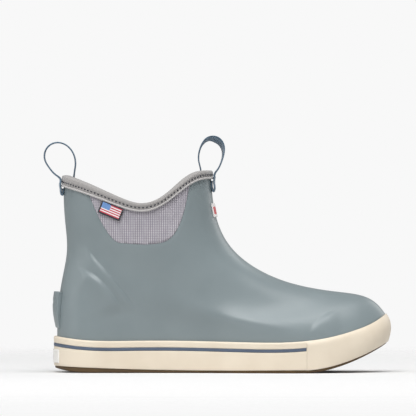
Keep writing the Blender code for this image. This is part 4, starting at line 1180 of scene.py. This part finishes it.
bed_turns = np.linspace(BED_END_TURN, math.pi - BED_END_TURN, BED_TURNS)
bed_near, bed_far = bed_row(bed_turns), bed_row(-bed_turns)
across = np.linspace(0, 1, BED_ACROSS)[None, 1:-1, None]
middle = bed_near[:, -1:] * (1 - across) + bed_far[:, -1:] * across
bed_grid = np.concatenate([bed_near, middle, bed_far[:, ::-1]], axis=1)
footbed = new_bar("footbed_pad", bed_grid, footbed_foam)
dress(footbed, ["footbed"], "insole")

# %% [markdown]
# Pull loops. Each loop is one length of webbing: sewn down outside the collar, up and over, and
# sewn down again inside. The strap is a surface through rows of points, given thickness by a
# rounded section.

# %% Webbing finish and straps
WEB_WIDTH, WEB_THICKNESS, WEB_RIB, WEB_ZIGZAG = 15.5, 1.35, 1.2, 2.6
WEB_COLUMNS, WEB_ROWS = 15, 220
WEB_CENTRE = WEB_COLUMNS // 2
TWIST_SHARE, TWIST_SPREAD = 0.48, 0.17       # where on its way a loop twists, and over how much
HEEL_PIVOT_DROP, FRONT_PIVOT_DROP = 4.5, 6.0
TAIL_LENGTH, TAIL_STEP, INNER_TAIL_DROP, INNER_TAIL_LENGTH = 12.5, 2.6, 8.0, 10.0
HEEL_LOOP_LINE = [(0, 0), (-4.2, 4.5), (-9.5, 10.5), (-13.4, 17.5), (-13.2, 25.0), (-8.5, 31.0),
                  (-1.8, 32.8), (6.0, 30.0), (11.8, 22.5), (13.4, 14.0), (12.6, 7.4)]
FRONT_LOOP_LINE = [(0, 0), (2.6, 6.0), (6.2, 14.0), (7.6, 21.5), (5.8, 28.6), (0.6, 32.8),
                   (-5.2, 33.2), (-10.6, 28.8), (-13.6, 21.5), (-14.0, 14.0), (-12.6, 7.8)]
webbing = Finish("loop_webbing", 0.8, Sheen_Weight=0.3)
run, over = webbing.cloth().axis("X"), webbing.cloth().axis("Y")
ribs = webbing.wave(run, WEB_RIB)
zigzag = (over * (1 / WEB_ZIGZAG)).math("PINGPONG", 1.0) * WEB_ZIGZAG
herring = webbing.wave(run + zigzag, WEB_RIB)
inside_edge = over.math("PINGPONG", WEB_WIDTH / 2).ease(0.5, 1.3)
woven_face = (herring * 0.6 + webbing.noise(webbing.place(), 3.0) * 0.4).ease(0.1, 0.8)
face_tone = woven_face.mix(tone(84, 108, 128), tone(108, 131, 150))
webbing.set("Base Color", inside_edge.mix(tone(70, 96, 116), face_tone))
webbing.relief(herring * 0.7 + ribs * 0.3, 0.07)


def strap_rows(middle, depth, pivot_drop, line, twist, stand):
    """Rows of points across the strap, from its outer end over the loop to its inner end."""
    across = 2 * crowded(WEB_COLUMNS) - 1
    wall_turns = turns_across(middle, 1.0, WEB_WIDTH, WEB_COLUMNS)
    half = WEB_THICKNESS / 2
    over_piping = GAP + PIPING_DIAMETER + GAP + half
    step = depth + GAP + PIPING_DIAMETER + GAP
    start = pivot_drop + half + GAP
    end = max(step + TAIL_STEP + 1, start + TAIL_LENGTH)
    hem = GAP + half                             # the end is folded under, so it is two layers thick
    fold = hem + WEB_THICKNESS + 0.1
    outer_tail = [(step + 1.0, hem), (end - 1.6, hem + 0.05), (end - 0.4, (hem + fold) / 2),
                  (end - 1.6, fold), (step + 1.0, fold + stand),
                  (step - 2.6, over_piping + 0.6 * stand), (start + 0.6, over_piping)]
    rows = [collar_point(wall_turns, drop, offset) for drop, offset in outer_tail]
    pivot = collar_point(middle, pivot_drop, over_piping)
    bow = rows[-1] - rows[-1][WEB_CENTRE]
    flip = 1 if middle == 0 else -1
    way = unit(np.gradient(np.array(line, float), axis=0))
    shares = np.linspace(0, 1, len(line))
    roll = np.radians(twist) * np.exp(-((shares - TWIST_SHARE) / TWIST_SPREAD) ** 2)
    for (dx, dz), (run_x, run_z), share, angle in zip(line, way, shares, roll):
        y = -flip * across * WEB_WIDTH / 2
        curve = bow[:, 0] * np.clip(1 - dz / 12, 0, 1) * (share < 0.35)
        x = pivot[0] + dx + curve - run_z * y * math.sin(angle)
        z = pivot[2] + dz + run_x * y * math.sin(angle)
        rows.append(np.stack([x, y * math.cos(angle), z], -1))
    low_in = LINING_INSIDE + BAND_PLAY + half
    band_in = low_in + BAND_THICKNESS + GAP
    band_foot = BAND_INSIDE + GAP
    inner_tail = [(INNER_TAIL_DROP - 4.0, band_in + 0.4), (INNER_TAIL_DROP, band_in),
                  (band_foot, band_in - 0.2), (band_foot + TAIL_STEP, low_in + 0.2),
                  (INNER_TAIL_DROP + INNER_TAIL_LENGTH - 0.3, low_in)]
    rows += [collar_point(wall_turns, drop, -offset) for drop, offset in inner_tail]
    return np.array(rows)


def strap_surface(rows):
    """Smooth surface through the rows: a natural spline over the run of the middle line."""
    run = running(rows[:, [WEB_CENTRE]], 0, False)
    return spline(run, rows)(np.linspace(0, run[-1], WEB_ROWS))


def strap_grid(sheet):
    """Rounded section round a sheet: moved out and in along its normal, round at both edges."""
    along, over = np.gradient(sheet, axis=0), np.gradient(sheet, axis=1)
    normal = unit(np.cross(along, over))
    half = WEB_THICKNESS / 2
    width = 2 * crowded(sheet.shape[1]) - 1
    swell = half * np.sqrt(np.clip(1 - np.abs(width) ** 8, 0.02, 1))[None, :, None]
    return close_sheets(sheet + normal * swell, sheet - normal * swell)


def make_strap(place, middle, depth, pivot_drop, line, twist, stand):
    """Strap that stands for the loop and its two sewn ends."""
    rows = strap_rows(middle, depth, pivot_drop, line, twist, stand)
    strap = new_bar(place + "_pull_strap", strap_grid(strap_surface(rows)), webbing)
    names = [place + "_pull_loop", place + "_loop_outer_tail", place + "_loop_inner_tail"]
    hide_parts(*names)
    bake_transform(strap)
    print(strap.name, len(strap.data.polygons), "faces")
    return strap


make_strap("heel", 0.0, BAND_HEEL, HEEL_PIVOT_DROP, HEEL_LOOP_LINE, 0.0, 0.6)
make_strap("front", math.pi, BAND_FRONT, FRONT_PIVOT_DROP, FRONT_LOOP_LINE, 21.0, 0.5)

# %% [markdown]
# Labels. A small woven label hangs from the piping over the outer gore, and a folded one wraps
# the front of the shaft. Both carry plain blocks and stripes of colour. The colours are bands of
# the label's own millimetres, so they stay put when the label flips.

# %% Side label
LABEL_WIDTH, LABEL_HEIGHT, LABEL_THICKNESS, LABEL_X = 21.0, 10.8, 0.8, -95.8
label_cloth = Finish("woven_label", 0.75, Sheen_Weight=0.2)
label_x, label_y = label_cloth.cloth().axis("X"), label_cloth.cloth().axis("Y")
LABEL_ROWS, LABEL_COLUMNS, STRIPES = 26, 44, 9
BORDER_TOP, BORDER_FOOT, BORDER_BACK, BORDER_FRONT = 0.5, 1.4, 1.6, 1.2
label_turn = turn_at(LABEL_X, collar_back, collar_front)
label_drop = float(band_depth(label_turn)) + GAP + PIPING_DIAMETER + GAP + LABEL_THICKNESS / 2
label_out = GAP + LABEL_THICKNESS / 2


def label_frame():
    """Middle of the label's top edge, and its three directions: along, out and down."""
    behind, edge, ahead = (collar_point(label_turn + step, label_drop, label_out)
                           for step in (-0.05, 0, 0.05))
    tangent = unit(ahead - behind)
    lean = upper_normal(label_turn, drop_rise(label_turn, label_drop))
    normal = unit(lean - np.dot(lean, tangent) * tangent)
    down = np.cross(tangent, normal)
    return edge, tangent, normal, down * -np.sign(down[2])


def label_sheet(offset):
    """Flat sheet with a soft curl at its lower corners."""
    edge, tangent, normal, down = label_frame()
    u = LABEL_WIDTH * (crowded(LABEL_COLUMNS) - 0.5)[None, :, None]
    v = LABEL_HEIGHT * crowded(LABEL_ROWS)[:, None, None]
    curl = 0.35 * (v / LABEL_HEIGHT) ** 2 * (0.4 + 0.6 * (u / (LABEL_WIDTH / 2)) ** 2)
    return edge + tangent * u + down * v + normal * (offset + curl)


label_edge = rounded(LABEL_ROWS, LABEL_COLUMNS, (LABEL_HEIGHT, LABEL_WIDTH), 0.4)[..., None]
border = ((label_x < BORDER_TOP).math("MAXIMUM", label_x > LABEL_HEIGHT - BORDER_FOOT)
          .math("MAXIMUM", label_y < BORDER_BACK)
          .math("MAXIMUM", label_y > LABEL_WIDTH - BORDER_FRONT))
stripe_pitch = (LABEL_HEIGHT - BORDER_TOP - BORDER_FOOT) / STRIPES
pair = ((label_x - BORDER_TOP) * (0.5 / stripe_pitch)).math("FRACT")
stripes = (pair > 0.5).mix(tone(196, 58, 78), tone(230, 226, 226))
corner = (label_x < LABEL_HEIGHT * 0.52) * (label_y < LABEL_WIDTH * 0.45)
face = corner.mix(stripes, tone(104, 142, 196))
label_cloth.set("Base Color", border.mix(face, tone(44, 42, 48)))
label_weave = label_cloth.wave(label_x, 0.35) * 0.5 + label_cloth.wave(label_y, 0.5) * 0.5
label_cloth.relief(label_weave, 0.06)
label_half = LABEL_THICKNESS / 2 * label_edge
label = new_plate("side_label_patch", label_sheet(label_half), label_sheet(-label_half), label_cloth)
dress(label, ["side_label"], "label_flap")

# %% Front label
PATCH_WIDTH, PATCH_FOOT, PATCH_HEIGHT = 26.0, 136.0, 12.0
PATCH_THICKNESS, PATCH_SEAT = 0.8, 0.55
BLOCK_FOOT, BLOCK_TOP, BLOCK_HALF = 138.7, 145.2, 12.5
patch_cloth = Finish("front_patch_cloth", 0.75, Sheen_Weight=0.2)
patch_z = patch_cloth.place().axis("Z")
patch_y = patch_cloth.place().axis("Y").math("ABSOLUTE")
block = (patch_z > BLOCK_FOOT) * (patch_z < BLOCK_TOP) * (patch_y < BLOCK_HALF)
patch_cloth.set("Base Color", block.mix(tone(232, 228, 226), tone(206, 66, 72)))
patch_cloth.relief(patch_cloth.wave(patch_z, 0.45), 0.06)
patch_rises = rises_for_heights(math.pi, PATCH_FOOT + PATCH_HEIGHT * crowded(LABEL_ROWS))
patch_turns = turns_across(math.pi, patch_rises[LABEL_ROWS // 2], PATCH_WIDTH, LABEL_COLUMNS)
patch_shape = rounded(LABEL_ROWS, LABEL_COLUMNS, (PATCH_HEIGHT, PATCH_WIDTH), 0.5)
patch_far, patch_near = (wall_point(patch_turns, patch_rises[:, None], offset)
                         for offset in (PATCH_SEAT + PATCH_THICKNESS * patch_shape, PATCH_SEAT - 0.2))
patch = new_plate("shin_label_patch", patch_far, patch_near, patch_cloth)
dress(patch, ["front_label"])

# %% [markdown]
# Inner layers. Filler, lasting board, heel counter and toe puff are closed in between the other
# parts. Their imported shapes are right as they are, so they only get their own finishes: foamed
# filler, pressed fibre board and dull inner rubber.

# %% Finishes of the inner layers
filler_foam = rubber("filler_foam", tone(190, 188, 182), tone(170, 168, 162), 0.9, 0.3, 6.0)
fibre_board = rubber("fibre_board", tone(176, 152, 118), tone(156, 132, 100), 0.9, 0.15, 4.0)
inner_rubber = rubber("inner_rubber", tone(70, 70, 72), tone(58, 58, 60), 0.75, 0.1, 10.0)
for name, finish in (("midsole_filler", filler_foam), ("lasting_board", fibre_board),
                     ("heel_counter", inner_rubber), ("toe_puff", inner_rubber)):
    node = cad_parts[name]
    node.data.materials.clear()
    node.data.materials.append(finish.material)
    print(name, "keeps its packed shape")
